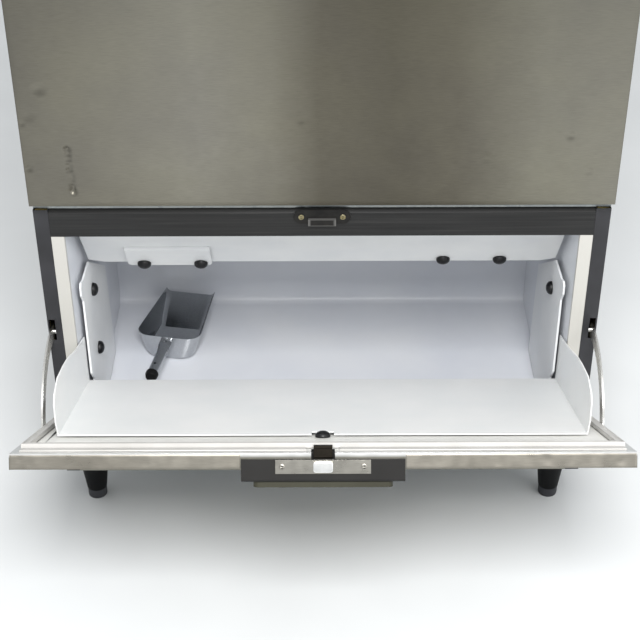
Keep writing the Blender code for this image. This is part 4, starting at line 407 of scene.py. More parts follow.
# ---- Casing of the machine section ----
# A top lid and one wrap of folded stainless sheet for both sides and the back, with
# rows of vents in the back. Screws hold them to the frame inside.
CASING_EDGE = 0.0006
# corners closer than this become one, and faces that meet at less than this angle are joined
MERGE = 0.00001
FLAT_ANGLE = math.radians(0.5)


def refined(node, name, rounding, segments=2, degrees=30):
    """A new piece with a CAD node's form: loose triangles merged, flat faces joined, edges rounded."""
    piece = bpy.data.objects.new(name, nodes[node].data.copy())
    bpy.context.collection.objects.link(piece)
    only(piece)
    if piece.data.has_custom_normals:
        bpy.ops.mesh.customdata_custom_splitnormals_clear()
    bpy.ops.object.mode_set(mode="EDIT")
    bpy.ops.mesh.select_all(action="SELECT")
    bpy.ops.mesh.remove_doubles(threshold=MERGE)
    bpy.ops.mesh.dissolve_limited(angle_limit=FLAT_ANGLE)
    bpy.ops.object.mode_set(mode="OBJECT")
    if rounding:
        round_edges(piece, rounding, segments, degrees)
    smooth(piece)
    use_modifier(piece, "WEIGHTED_NORMAL", keep_sharp=True)
    return piece


def stand_for(node, name, material, rounding, segments=2, degrees=30):
    """A refined copy of a CAD node, painted, that takes the node's body and place."""
    piece = refined(node, name, rounding, segments, degrees)
    paint(piece, material)
    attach(piece, nodes[node]["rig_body"])
    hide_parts(node)


# the same sheet, more even, with no bands of painted reflection
brushed_casing = stainless_sheet("brushed_stainless_casing", ("8b897f", "918f86"), roughness=(0.32, 0.38),
                                 brushing=LEVEL_GRAIN)
stand_for("upper_casing", "machine_wrap", brushed_casing, CASING_EDGE)
stand_for("top_panel", "machine_lid", brushed_casing, CASING_EDGE)


# ---- Intake grille and air filter ----
# A moulded ABS grille with level louvres unclips forward. Behind it is a washable
# mesh filter in a moulded frame.
GRILLE_EDGE = 0.0008


def moulded(name, tones, grain, gloss, relief, metallic=0.0, clouds=7.0, **sockets):
    """A moulded or coated surface: its clouds of tone in a metre, its grain and relief in metres."""
    material, tree, shader = new_material(name, metallic=metallic, **sockets)
    position = add_node(tree, "TexCoord").outputs["Object"]
    cloud = add_node(tree, "TexNoise", {"Vector": position, "Scale": clouds, "Detail": 4.0})
    texture = add_node(tree, "TexNoise", {"Vector": position, "Scale": 1 / grain, "Detail": 2.0})
    colour = add_node(tree, "ValToRGB", {"Fac": cloud.outputs["Fac"]},
                      stops=[(0.3, tones[0]), (0.7, tones[1])])
    tree.links.new(colour.outputs["Color"], shader.inputs["Base Color"])
    shine = add_node(tree, "MapRange", {"Value": texture.outputs["Fac"], "From Min": 0.3,
                                        "From Max": 0.7, "To Min": gloss[0], "To Max": gloss[1]})
    tree.links.new(shine.outputs[0], shader.inputs["Roughness"])
    bumps = add_node(tree, "Bump", {"Height": texture.outputs["Fac"], "Strength": 0.4,
                                    "Distance": relief})
    tree.links.new(bumps.outputs[0], shader.inputs["Normal"])
    return material


# moulded in a grained tool, it has a soft sheen and no clear reflection
dark_abs = moulded("dark_grey_grained_ABS", ("2e2d2c", "373635"), grain=0.0012, gloss=(0.50, 0.62),
                   relief=0.0002, Specular_IOR_Level=0.3)
# woven polyester, matt and a little rough
filter_mesh = moulded("white_filter_mesh", ("b9bab6", "cfd0cc"), grain=0.0020, gloss=(0.6, 0.8),
                      relief=0.0008)
stand_for("intake_grille", "louvred_grille", dark_abs, GRILLE_EDGE)
stand_for("air_filter", "filter_sheet", filter_mesh, GRILLE_EDGE / 2)


# ---- Machine base ----
# The pressed deck that carries the machine section on the bin. It is hot-dip
# galvanised steel, with the large zinc crystals of that bath.
BASE_EDGE = 0.0012


def galvanised(name, tones, spangle):
    """Zinc-coated sheet: crystals of a given size in metres, each with its own tone and gloss."""
    material, tree, shader = new_material(name, metallic=1.0)
    position = add_node(tree, "TexCoord").outputs["Object"]
    warp = add_node(tree, "TexNoise", {"Vector": position, "Scale": 0.6 / spangle})
    bent = add_node(tree, "Mix", {"Factor_Float": 0.03, "A_Color": position,
                                  "B_Color": warp.outputs["Color"]}, data_type="RGBA").outputs[2]
    crystals = add_node(tree, "TexVoronoi", {"Vector": bent, "Scale": 1 / spangle})
    grey = add_node(tree, "SeparateColor", {"Color": crystals.outputs["Color"]}).outputs["Red"]
    colour = add_node(tree, "ValToRGB", {"Fac": grey}, stops=[(0.0, tones[0]), (1.0, tones[1])])
    tree.links.new(colour.outputs["Color"], shader.inputs["Base Color"])
    shine = add_node(tree, "MapRange", {"Value": grey, "To Min": 0.38, "To Max": 0.55})
    tree.links.new(shine.outputs[0], shader.inputs["Roughness"])
    return material


# a mosaic of flat grey crystals with a dull gloss
zinc_sheet = galvanised("galvanised_sheet", ("8d9293", "a9adac"), spangle=0.012)
stand_for("machine_base", "machine_deck", zinc_sheet, BASE_EDGE)


# ---- Bin casing, lower front and base plate ----
# The bin's wrap is one folded sheet like the one above, with a narrow stainless
# strip across the front under the door and a galvanised plate beneath.
BIN_SHEET_EDGE = 0.0005

stand_for("bin_casing", "bin_wrap", brushed_casing, CASING_EDGE)
stand_for("lower_front_panel", "lower_front_strip", brushed_casing, BIN_SHEET_EDGE)
stand_for("base_plate", "bin_base", zinc_sheet, BIN_SHEET_EDGE)


# ---- Front posts ----
# Folded steel channels at both sides of the opening, coated dark grey, each with a
# slot through which the door's stay runs.
POST_EDGE = 0.0012

# baked powder coating, dark and satin
dark_coating = moulded("dark_grey_coated_steel", ("29292b", "333336"), grain=0.0009, gloss=(0.44, 0.58),
                       relief=0.00008, clouds=16.0, Specular_IOR_Level=0.3)
for side in ("left", "right"):
    stand_for(f"{side}_front_post", f"post_{side}", dark_coating, POST_EDGE, segments=3)


# ---- Head strip ----
# A black-coated steel strip above the opening, chamfered along its top, with faint
# rubbing marks along its length.
STRIP_EDGE = 0.0010


def coated_strip(name, tones):
    """Satin coating that is rubbed in long level streaks."""
    material, tree, shader = new_material(name, Specular_IOR_Level=0.3)
    position = add_node(tree, "TexCoord").outputs["Object"]
    # streaks 20 cm long, and 8 mm wide or 4 mm high
    along = add_node(tree, "Mapping", {"Vector": position, "Scale": (5, 120, 240)})
    streaks = add_node(tree, "TexNoise", {"Vector": along.outputs[0], "Scale": 1.0, "Detail": 5.0})
    colour = add_node(tree, "ValToRGB", {"Fac": streaks.outputs["Fac"]},
                      stops=[(0.35, tones[0]), (0.6, tones[1]), (0.75, tones[2])])
    tree.links.new(colour.outputs["Color"], shader.inputs["Base Color"])
    shine = add_node(tree, "MapRange", {"Value": streaks.outputs["Fac"], "To Min": 0.55,
                                        "To Max": 0.36})
    tree.links.new(shine.outputs[0], shader.inputs["Roughness"])
    return material


# satin black paint that is rubbed in level streaks
black_coating = coated_strip("black_coated_steel", ("1c1c1c", "242424", "302f2e"))
stand_for("opening_head_strip", "head_strip", black_coating, STRIP_EDGE, segments=3)


# ---- Striker ----
# A small dark steel plate with a folded keeper that the door's latch catches, held by
# two cross-head screws with a yellow zinc plating.
KEEPER_HALF = 0.026
KEEPER_MIDDLE = 0.739
KEEPER_RISE = 0.007
KEEPER_EDGE_GREY = "6e6d6b"
# where the lighter edge begins and is full, as a share of the keeper's half size, and how far it stands proud
KEEPER_EDGE_BAND = (0.78, 0.94)
KEEPER_PROUD = (0.0004, 0.0014)
STRIKER_EDGE = 0.0005
STRIKER_FACE = -0.096536
STRIKER_SCREWS = (-0.039, 0.039)
STRIKER_SCREW_Z = 0.748
SCREW_HEAD = 0.0052
SCREW_RISE = 0.0020
SCREW_SLOT = 0.0009
SCREW_SLOT_DEPTH = 0.0010
# shares of a screw's radius or rise
SCREW_CROWN = 0.65
SCREW_CROWN_RISE = 0.25
SCREW_CROSS = 1.15
SCREW_EDGE = 0.0003
# a face looks in a direction when its normal's share along it is above this
LOOKS_THERE = 0.9


def screw(name, place, facing, radius, rise, material, body):
    """A pan-head screw: a low turned head with a cross cut into it."""
    bpy.ops.mesh.primitive_cylinder_add(vertices=24, radius=radius, depth=rise, end_fill_type="NGON")
    head = bpy.context.object
    head.name = name
    bpy.ops.object.mode_set(mode="EDIT")
    pick(head, "FACE", lambda f: f.normal.z > LOOKS_THERE)
    bpy.ops.mesh.inset(thickness=radius * (1 - SCREW_CROWN))
    bpy.ops.transform.translate(value=(0, 0, rise * SCREW_CROWN_RISE))
    bpy.ops.object.mode_set(mode="OBJECT")
    for turn in (0, math.pi / 2):
        bpy.ops.mesh.primitive_cube_add(size=1, location=(0, 0, rise * (1 - SCREW_CROWN_RISE)),
                                        rotation=(0, 0, turn))
        groove = bpy.context.object
        groove.scale = (radius * SCREW_CROSS, SCREW_SLOT, SCREW_SLOT_DEPTH * 2)
        settle(groove)
        use_modifier(head, "BOOLEAN", object=groove, operation="DIFFERENCE", solver="EXACT")
        bpy.data.objects.remove(groove)
    head.rotation_euler = Vector(facing).to_track_quat("Z", "Y").to_euler()
    head.location = Vector(place) + Vector(facing).normalized() * rise / 2
    settle(head)
    round_edges(head, SCREW_EDGE, segments=2, degrees=40)
    smooth(head)
    paint(head, material)
    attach(head, body)


# oil-blackened steel, dark with a dull gleam
worn_steel = moulded("dark_worn_steel", ("1b1a1a", "282725"), grain=0.0012, gloss=(0.34, 0.50),
                     relief=0.00006, metallic=0.6, clouds=60.0)
# the keeper's outer edges, where they stand proud of the plate, are a lighter grey
tree = worn_steel.node_tree
base_colour = tree.nodes["Principled BSDF"].inputs["Base Color"]
position = add_node(tree, "TexCoord").outputs["Object"]
depth_out = add_node(tree, "SeparateXYZ", {"Vector": position}).outputs["Y"]
shares = add_node(tree, "VectorMath", {"Vector": position, "Vector_001": (0, 0, KEEPER_MIDDLE)},
                  operation="SUBTRACT").outputs[0]
shares = add_node(tree, "VectorMath", {"Vector": shares, "Vector_001": (KEEPER_HALF, 1, KEEPER_RISE)},
                  operation="DIVIDE").outputs[0]
shares = add_node(tree, "VectorMath", {"Vector": shares}, operation="ABSOLUTE").outputs[0]
shares = add_node(tree, "SeparateXYZ", {"Vector": shares}).outputs
outer = add_node(tree, "Math", {"Value": shares["X"], "Value_001": shares["Z"]},
                 operation="MAXIMUM").outputs[0]
on_edge = add_node(tree, "MapRange", {"Value": outer, "From Min": KEEPER_EDGE_BAND[0],
                                      "From Max": KEEPER_EDGE_BAND[1]}).outputs[0]
proud = add_node(tree, "MapRange", {"Value": depth_out, "From Min": STRIKER_FACE - KEEPER_PROUD[0],
                                    "From Max": STRIKER_FACE - KEEPER_PROUD[1]}).outputs[0]
lighter_edge = add_node(tree, "Math", {"Value": on_edge, "Value_001": proud},
                  operation="MULTIPLY").outputs[0]
keeper_lighter = add_node(tree, "Mix", {"Factor_Float": lighter_edge, "A_Color": base_colour.links[0].from_socket,
                              "B_Color": linear(KEEPER_EDGE_GREY)}, data_type="RGBA")
tree.links.new(keeper_lighter.outputs[2], base_colour)
# zinc plating with a yellow passivation, a pale brassy gloss
brass_plated = moulded("yellow_zinc_plated_steel", ("8f8460", "c4bb98"), grain=0.0010, gloss=(0.25, 0.4),
                       relief=0.00003, metallic=1.0, clouds=200.0)
stand_for("striker_plate", "striker", worn_steel, STRIKER_EDGE)
for number, x in enumerate(STRIKER_SCREWS, 1):
    screw(f"striker_screw_{number}", (x, STRIKER_FACE, STRIKER_SCREW_Z), (0, -1, 0), SCREW_HEAD, SCREW_RISE,
          brass_plated, "cabinet")


# ---- Bin liner ----
# The bin's inside is one vacuum-formed tub of white ABS with a soft fillet between
# floor and walls, foamed into the casing. It is a cool white, and its flange warmer.
LINER_EDGE = 0.004
FLANGE_DEPTHS = (-0.088, -0.080)
FLANGE_CREAM = "bcbab4"

# formed over a smooth tool, it is cool white with an even soft gloss
white_abs = moulded("white_vacuum_formed_ABS", ("dadde4", "e4e6ea"), grain=0.0030, gloss=(0.30, 0.42),
                    relief=0.00006, clouds=5.0, Coat_Weight=0.1)
# daylight has yellowed only the flange that stands in front of the posts' edges
tree = white_abs.node_tree
base_colour = tree.nodes["Principled BSDF"].inputs["Base Color"]
depth_in = add_node(tree, "SeparateXYZ",
                    {"Vector": add_node(tree, "TexCoord").outputs["Object"]}).outputs["Y"]
outside = add_node(tree, "MapRange", {"Value": depth_in, "From Min": FLANGE_DEPTHS[0],
                                      "From Max": FLANGE_DEPTHS[1], "To Min": 1.0, "To Max": 0.0})
yellowed = add_node(tree, "Mix", {"Factor_Float": outside.outputs[0],
                                  "A_Color": base_colour.links[0].from_socket,
                                  "B_Color": linear(FLANGE_CREAM)}, data_type="RGBA")
tree.links.new(yellowed.outputs[2], base_colour)
stand_for("bin_liner", "bin_tub", white_abs, LINER_EDGE, segments=3, degrees=50)
# foamed in place, matt, yellow and pitted
rigid_foam = moulded("rigid_PU_foam", ("c9b36e", "dcc98a"), grain=0.0025, gloss=(0.85, 0.95), relief=0.0006)
paint(nodes["bin_insulation"], rigid_foam)


# ---- Apron and level sensor bracket ----
# A sloping ABS plate closes the bin under the machine and turns the ice back. On it
# sits the shallow cover of the level sensor, on standing edges.
APRON_EDGE = 0.0010
BRACKET_EDGE = 0.0012

# injection-moulded, white with a fine sheen
white_plate = moulded("white_injection_moulded_ABS", ("e2e4e6", "eceded"), grain=0.0018, gloss=(0.34, 0.46),
                      relief=0.00005, clouds=9.0)
stand_for("front_apron", "apron", white_plate, APRON_EDGE, segments=3)
stand_for("level_sensor_bracket", "sensor_cover", white_plate, BRACKET_EDGE, segments=3)


# ---- Side guards ----
# Upright ABS plates that stand a finger's width off the tub's walls and keep the ice
# from the guide plate's wings.
GUARD_EDGE = 0.0012

for side in ("left", "right"):
    stand_for(f"{side}_side_guard", f"guard_{side}", white_plate, GUARD_EDGE, segments=3)


# ---- Knobs ----
# Black moulded dome knobs that turn by hand and hold the bracket, the apron, the
# guards and the guide plate, so that all of them come out for cleaning.
KNOB_EDGE = 0.0010
KNOBS = ("apron_knob_inner_left", "apron_knob_inner_right", "apron_knob_outer_left", "apron_knob_outer_right",
         "guard_knob_lower_left", "guard_knob_upper_left", "guard_knob_right", "guide_plate_knob")

# near black, with one small soft highlight on each dome
black_nylon = moulded("black_moulded_nylon", ("0a0a0c", "111114"), grain=0.0010, gloss=(0.36, 0.48),
                      relief=0.0001, clouds=40.0, Specular_IOR_Level=0.35)
for knob in KNOBS:
    stand_for(knob, f"{knob}_dome", black_nylon, KNOB_EDGE)


# ---- Scoop ----
# A pressed stainless scoop lies on the tub's floor. Its handle is a tube, flattened
# where a rivet holds it to the bowl, with a hanging hole and a black rubber cap.
SCOOP_PLACE = (-0.352, 0.241764, 0.1733)
SCOOP_TURN = math.radians(-10.5)
BOWL_WIDTH = 0.152
BOWL_LIP_WIDTH = 0.119
BOWL_LENGTH = 0.216
BOWL_HEIGHT = 0.061
BOWL_FLAT = 0.125
BOWL_RISE = 0.040
BOWL_LIP = 0.010
BOWL_FLARE = 0.3
BOWL_CORNER = 0.033
BOWL_FOLD = 0.010
BOWL_SHEET = 0.0012
TUBE_RADIUS = 0.0118
TUBE_LENGTH = 0.119
TUBE_DROP = 0.0135
TUBE_WALL = 0.0014
TUBE_FLAT = 0.020
TUBE_TAPER = 0.040
RIVET_RADIUS = 0.0042
RIVET_RISE = 0.0022
HANG_HOLE = 0.0030
HANG_HOLE_INSET = 0.022
# the tube's flattened end, as shares of its width and height
TUBE_SPREAD = 1.15
TUBE_SQUASH = 0.26
# the angle from which a fold shows as a line, so that the floor's rise to the lip does
BOWL_CREASE = 21
SCOOP_CAP_EDGE = 0.0008
# pressed or turned metal has its marks in all directions, about 3 mm apart
EVEN_GRAIN = (300, 300, 300)

# pressed and polished, with blurred but strong reflections of the tub
scoop_steel = stainless_sheet("satin_stainless_scoop", ("b3b5b8", "bfc1c3"), roughness=(0.10, 0.15),
                              brushing=EVEN_GRAIN)
# dipped, black and almost without gloss
black_rubber = moulded("black_rubber", ("0b0b0c", "131314"), grain=0.0012, gloss=(0.55, 0.7), relief=0.0001,
                       Specular_IOR_Level=0.2)
bpy.ops.mesh.primitive_cube_add(size=1, location=(0, BOWL_LENGTH / 2, BOWL_HEIGHT / 2))
bowl = bpy.context.object
bowl.name = "scoop"
bowl.scale = (BOWL_WIDTH, BOWL_LENGTH, BOWL_HEIGHT)
settle(bowl)
bpy.ops.object.mode_set(mode="EDIT")
pick(bowl, "FACE", lambda f: f.normal.z > LOOKS_THERE or f.normal.y > LOOKS_THERE)
bpy.ops.mesh.delete(type="FACE")
bpy.ops.mesh.select_all(action="SELECT")
bpy.ops.mesh.bisect(plane_co=(0, BOWL_FLAT, 0), plane_no=(0, 1, 0))
for station, floor_rise in ((0, 0), (BOWL_FLAT, 0), (BOWL_LENGTH, BOWL_RISE)):
    share = station / BOWL_LENGTH
    rim = BOWL_HEIGHT + (BOWL_RISE + BOWL_LIP - BOWL_HEIGHT) * share
    rim_half = (BOWL_WIDTH + (BOWL_LIP_WIDTH - BOWL_WIDTH) * share) / 2
    floor_half = rim_half - BOWL_FLARE * (rim - floor_rise)
    for high, half, level in ((True, rim_half, rim), (False, floor_half, floor_rise)):
        pick(bowl, "VERT", lambda v: abs(v.co.y - station) < TOUCH and (v.co.z > BOWL_HEIGHT / 2) == high)
        bpy.ops.transform.resize(value=(2 * half / BOWL_WIDTH, 1, 1), center_override=(0, station, 0))
        bpy.ops.transform.translate(value=(0, 0, level - (BOWL_HEIGHT if high else 0)))


def on_upright_corner(edge):
    ends = [bowl.data.vertices[i].co for i in edge.vertices]
    return max(end.y for end in ends) < TOUCH and abs(ends[0].z - ends[1].z) > BOWL_HEIGHT / 2


def floor_at(y):
    return BOWL_RISE * max(0, (y - BOWL_FLAT) / (BOWL_LENGTH - BOWL_FLAT))


def on_floor_fold(edge):
    ends = [bowl.data.vertices[i].co for i in edge.vertices]
    below = all(end.z < floor_at(end.y) + TOUCH for end in ends)
    across = abs(ends[0].x - ends[1].x) > BOWL_LIP_WIDTH / 4 and min(end.y for end in ends) > BOWL_FLAT / 2
    return below and not across


pick(bowl, "EDGE", on_upright_corner)
bpy.ops.mesh.bevel(offset=BOWL_CORNER, segments=10)
pick(bowl, "EDGE", on_floor_fold)
bpy.ops.mesh.bevel(offset=BOWL_FOLD, segments=4)
bpy.ops.mesh.select_all(action="SELECT")
bpy.ops.mesh.remove_doubles(threshold=2 * MERGE)
end_edit()
use_modifier(bowl, "SOLIDIFY", thickness=BOWL_SHEET, offset=-1)

bpy.ops.mesh.primitive_cylinder_add(vertices=24, radius=TUBE_RADIUS, depth=TUBE_LENGTH,
                                    end_fill_type="NOTHING", rotation=(math.pi / 2, 0, 0),
                                    location=(0, -TUBE_LENGTH / 2 - BOWL_SHEET / 4, BOWL_HEIGHT - TUBE_DROP))
tube = bpy.context.object
settle(tube)
bpy.ops.object.mode_set(mode="EDIT")
for cut in (TUBE_FLAT, TUBE_TAPER):
    bpy.ops.mesh.select_all(action="SELECT")
    bpy.ops.mesh.bisect(plane_co=(0, -cut, 0), plane_no=(0, 1, 0))
pick(tube, "VERT", lambda v: v.co.y > -TUBE_FLAT - TOUCH)
bpy.ops.transform.resize(value=(TUBE_SPREAD, 1, TUBE_SQUASH), center_override=(0, 0, BOWL_HEIGHT - TUBE_DROP))
bpy.ops.transform.translate(value=(0, 0, TUBE_DROP / 2))
end_edit()
use_modifier(tube, "SOLIDIFY", thickness=TUBE_WALL, offset=-1)
bpy.ops.mesh.primitive_cylinder_add(vertices=16, radius=HANG_HOLE, depth=6 * TUBE_RADIUS,
                                    location=(0, HANG_HOLE_INSET - TUBE_LENGTH, BOWL_HEIGHT - TUBE_DROP))
drill = bpy.context.object
use_modifier(tube, "BOOLEAN", object=drill, operation="DIFFERENCE", solver="EXACT")
bpy.data.objects.remove(drill)
rivet_seat = BOWL_HEIGHT - TUBE_DROP / 2 + TUBE_RADIUS * TUBE_SQUASH
bpy.ops.mesh.primitive_uv_sphere_add(segments=20, ring_count=10, radius=RIVET_RADIUS,
                                     location=(0, -TUBE_FLAT / 2, rivet_seat))
rivet = bpy.context.object
rivet.scale = (1, 1, RIVET_RISE / RIVET_RADIUS)
settle(rivet)
only(bowl)
tube.select_set(True)
rivet.select_set(True)
bpy.ops.object.join()
bowl.matrix_world = Matrix.Translation(SCOOP_PLACE) @ Matrix.Rotation(SCOOP_TURN, 4, "Z")
settle(bowl)
smooth(bowl, BOWL_CREASE)
paint(bowl, scoop_steel)
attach(bowl, "scoop")
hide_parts("scoop_bowl")
stand_for("scoop_handle_cap", "scoop_cap", black_rubber, SCOOP_CAP_EDGE)


# ---- Door ----
# A foamed door: an outer pan of stainless sheet with folded rims, hinged at its lower
# edge, and two brushed facings on its upper edge that years of knocks have dented.
DOOR_EDGE = 0.0006
DOOR_FRAME = Matrix.Translation((0, -0.104236, 0.289)) @ Matrix.Rotation(math.radians(59.95), 4, "X")
DOOR_TOP = 0.4758
FACING_SPAN = (0.1425, 0.5385)
FACING_DEPTH = (-0.0280, -0.0035)
FACING_SHEET = 0.0008
FACING_CELL = 0.0035
# x, y, radius and depth of each dent in the facings, in the door's frame
FACING_DENTS = ((0.386, -0.014, 0.014, 0.0016), (0.300, -0.022, 0.010, 0.0008),
                (-0.505, -0.016, 0.012, 0.0012), (-0.520, -0.010, 0.008, 0.0010),
                (-0.305, -0.018, 0.012, 0.0009), (0.512, -0.018, 0.010, 0.0010))
FACING_EDGE = 0.0003
# how far along the door's inward direction its outer face ends and its bright inner rim begins
RIM_DEPTHS = (0.1890, 0.1940)
RIM_BRIGHT = "e4e4e2"
# brushed across its width, and as finely along y as along z, since the door leans
DOOR_GRAIN = (60, 900, 900)
SIDES = (("left", -1), ("right", 1))

door_inward = DOOR_FRAME.to_3x3() @ Vector((0, 1, 0))
# rubbed by use, with clear pale reflections
bright_rim = stainless_sheet("satin_stainless_fittings", ("d4d3cf", "dcdbd8"), roughness=(0.24, 0.32),
                             brushing=DOOR_GRAIN)
# brushed across the door's width, with soft level reflections
door_steel = stainless_sheet("brushed_stainless_door", ("85837a", "8c8a81"), roughness=(0.28, 0.36),
                             brushing=DOOR_GRAIN)
# the door's inner rim, past RIM_DEPTHS along its inward direction, is coloured near white, lighter than its
# face
tree = door_steel.node_tree
base_colour = tree.nodes["Principled BSDF"].inputs["Base Color"]
position = add_node(tree, "TexCoord").outputs["Object"]
inward = add_node(tree, "VectorMath", {"Vector": position, "Vector_001": door_inward},
                  operation="DOT_PRODUCT").outputs["Value"]
on_rim = add_node(tree, "MapRange", {"Value": inward, "From Min": RIM_DEPTHS[0],
                                     "From Max": RIM_DEPTHS[1]})
lighter_edge = add_node(tree, "Mix", {"Factor_Float": on_rim.outputs[0],
                                "A_Color": base_colour.links[0].from_socket,
                                "B_Color": linear(RIM_BRIGHT)}, data_type="RGBA")
tree.links.new(lighter_edge.outputs[2], base_colour)
# the same sheet scuffed by hands and ice, with cloudy reflections
worn_lip = stainless_sheet("brushed_stainless_lip", ("928d83", "a19c92"), roughness=(0.26, 0.38),
                           brushing=DOOR_GRAIN)
stand_for("door_outer_skin", "door_pan", door_steel, DOOR_EDGE)
for side in ("left", "right"):
    stand_for(f"{side}_hinge_bracket", f"hinge_bracket_{side}", bright_rim, DOOR_EDGE)
# the door's foam, painted matt black as painted shade, so that where it shows in the latch recess it reads as
# the recess's shadow
foam_painted_shade = moulded("PU_foam_painted_black_for_shade", ("1b1a19", "242322"), grain=0.0020, gloss=(0.7, 0.85),
                       relief=0.0003)
paint(nodes["door_insulation"], foam_painted_shade)


def on_door(piece):
    """A piece made in the closed door's frame goes to the open door."""
    piece.matrix_world = DOOR_FRAME @ piece.matrix_world
    settle(piece)


for name, side in SIDES:
    length = FACING_SPAN[1] - FACING_SPAN[0]
    width = FACING_DEPTH[1] - FACING_DEPTH[0]
    bpy.ops.mesh.primitive_grid_add(x_subdivisions=round(length / FACING_CELL),
                                    y_subdivisions=round(width / FACING_CELL), size=1,
                                    location=(side * sum(FACING_SPAN) / 2, sum(FACING_DEPTH) / 2,
                                              DOOR_TOP + FACING_SHEET))
    facing = bpy.context.object
    facing.name = f"lip_facing_{name}"
    facing.scale = (length, width, 1)
    settle(facing)
    bpy.ops.object.mode_set(mode="EDIT")
    for x, y, reach, depth in FACING_DENTS:
        if x * side > 0:
            press(facing, (x, y, DOOR_TOP + FACING_SHEET), reach, -depth / 2, facing=(0, 0, 1))
    bpy.ops.mesh.select_all(action="SELECT")
    bpy.ops.mesh.extrude_region_move(TRANSFORM_OT_translate={"value": (0, 0, -FACING_SHEET / 2)})
    end_edit()
    round_edges(facing, FACING_EDGE, segments=2, degrees=60)
    on_door(facing)
    smooth(facing)
    paint(facing, worn_lip)
    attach(facing, "door")


# ---- Door liner and gasket ----
# The door's inside is a vacuum-formed cream ABS sheet with a raised field. A soft
# hollow PVC gasket with a groove round its face is pushed into a flat PVC retainer.
DOOR_LINER_EDGE = 0.0012
GASKET_EDGE = 0.0016
GASKET_LIP = 0.0045
GASKET_GROOVE = 0.0020
RETAINER_SPAN = (0.0290, 0.5260)
RETAINER_DEPTH = (-0.0007, 0.0018)
RETAINER_RISE = (0.4310, 0.4560)
RETAINER_STEP = 0.0080
RETAINER_SINK = 0.0012
RETAINER_EDGE = 0.0005

# vacuum-formed, warm white with a soft gloss
cream_abs = moulded("cream_vacuum_formed_ABS", ("e9e8e3", "f1f0ec"), grain=0.0024, gloss=(0.32, 0.46),
                    relief=0.00006, clouds=6.0)
# extruded, off-white with a waxy sheen
soft_pvc = moulded("cream_soft_PVC", ("bdbbb7", "cac8c5"), grain=0.0014, gloss=(0.42, 0.56), relief=0.00008,
                   clouds=14.0)
stand_for("door_liner", "door_inner_sheet", cream_abs, DOOR_LINER_EDGE, segments=3)
gasket = refined("door_gasket", "gasket", rounding=0)
bpy.ops.object.mode_set(mode="EDIT")
pick(gasket, "FACE", lambda f: f.normal.dot(door_inward) > LOOKS_THERE)
bpy.ops.mesh.inset(thickness=GASKET_LIP)
bpy.ops.transform.translate(value=door_inward * -GASKET_GROOVE)
bpy.ops.object.mode_set(mode="OBJECT")
round_edges(gasket, GASKET_EDGE, segments=3, degrees=50)
smooth(gasket)
paint(gasket, soft_pvc)
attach(gasket, "door")
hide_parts("door_gasket")
for name, side in SIDES:
    bpy.ops.mesh.primitive_cube_add(size=1, location=(side * sum(RETAINER_SPAN) / 2, sum(RETAINER_DEPTH) / 2,
                                                      sum(RETAINER_RISE) / 2))
    retainer = bpy.context.object
    retainer.name = f"gasket_retainer_{name}"
    retainer.scale = (RETAINER_SPAN[1] - RETAINER_SPAN[0], RETAINER_DEPTH[1] - RETAINER_DEPTH[0],
                      RETAINER_RISE[1] - RETAINER_RISE[0])
    settle(retainer)
    bpy.ops.object.mode_set(mode="EDIT")
    pick(retainer, "FACE", lambda f: f.normal.y > LOOKS_THERE)
    bpy.ops.mesh.inset(thickness=RETAINER_STEP)
    bpy.ops.transform.translate(value=(0, -RETAINER_SINK, 0))
    bpy.ops.object.mode_set(mode="OBJECT")
    round_edges(retainer, RETAINER_EDGE, segments=2, degrees=40)
    on_door(retainer)
    smooth(retainer)
    paint(retainer, soft_pvc)
    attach(retainer, "door")


# ---- Ice guide plate ----
# A bent sheet of milky polyethylene with upright wings, over which the ice slides to
# the hand. Light passes into it and softens its edges.
GUIDE_EDGE = 0.0010

# pressed sheet that lets light in a few millimetres deep
milky_pe = moulded("milky_polyethylene", ("e6e8e8", "efefee"), grain=0.0040, gloss=(0.30, 0.42),
                   relief=0.00006, clouds=6.0, Subsurface_Weight=0.25,
                   Subsurface_Radius=(0.006, 0.006, 0.006), Subsurface_Scale=1.0)
stand_for("ice_guide_plate", "guide_plate", milky_pe, GUIDE_EDGE, segments=3)


# ---- Handle and latch ----
# A dark moulded housing holds a squeeze lever. A steel plate with a chromed cover is
# screwed over it, and behind that the latch pawl, painted near black as painted shade for its recess, turns
# on its pin.
HOUSING_EDGE = 0.0030
LEVER_EDGE = 0.0020
LATCH_EDGE = 0.0004
PLATE_MIDDLE = -0.0237
PLATE_TOP = 0.4846
PLATE_SCREW = 0.0705
COVER_WIDTH = 0.0342
COVER_DEPTH = 0.0190
COVER_TOP = 0.4875
COVER_RISE = 0.0028
COVER_CORNER = 0.0045
COVER_BORDER = 0.0012
COVER_DOME = 0.0008
COVER_EDGE = 0.0003
LATCH_SCREW = 0.0052
LATCH_SCREW_RISE = 0.0016
# polished, with only the faint waves of the plating
CHROME_GRAIN = (60, 60, 60)

# grained and dark, with no clear reflection
handle_abs = moulded("warm_grey_grained_ABS", ("201f1e", "262524"), grain=0.0010, gloss=(0.56, 0.68),
                     relief=0.00015, clouds=12.0, Specular_IOR_Level=0.18)
# grained, a dull grey-green
olive_abs = moulded("olive_grey_ABS", ("2f2e22", "38372b"), grain=0.0012, gloss=(0.52, 0.64), relief=0.0001,
                    clouds=12.0, Specular_IOR_Level=0.3)
# fine level grain, brighter than the door
nickel_plate = stainless_sheet("brushed_steel_latch_plate", ("94918a", "a4a199"), roughness=(0.22, 0.36),
                               brushing=DOOR_GRAIN)
stand_for("handle_housing", "handle_body", handle_abs, HOUSING_EDGE, segments=3)
stand_for("handle_lever", "squeeze_lever", olive_abs, LEVER_EDGE, segments=3)
stand_for("latch_plate", "latch_face", nickel_plate, LATCH_EDGE)
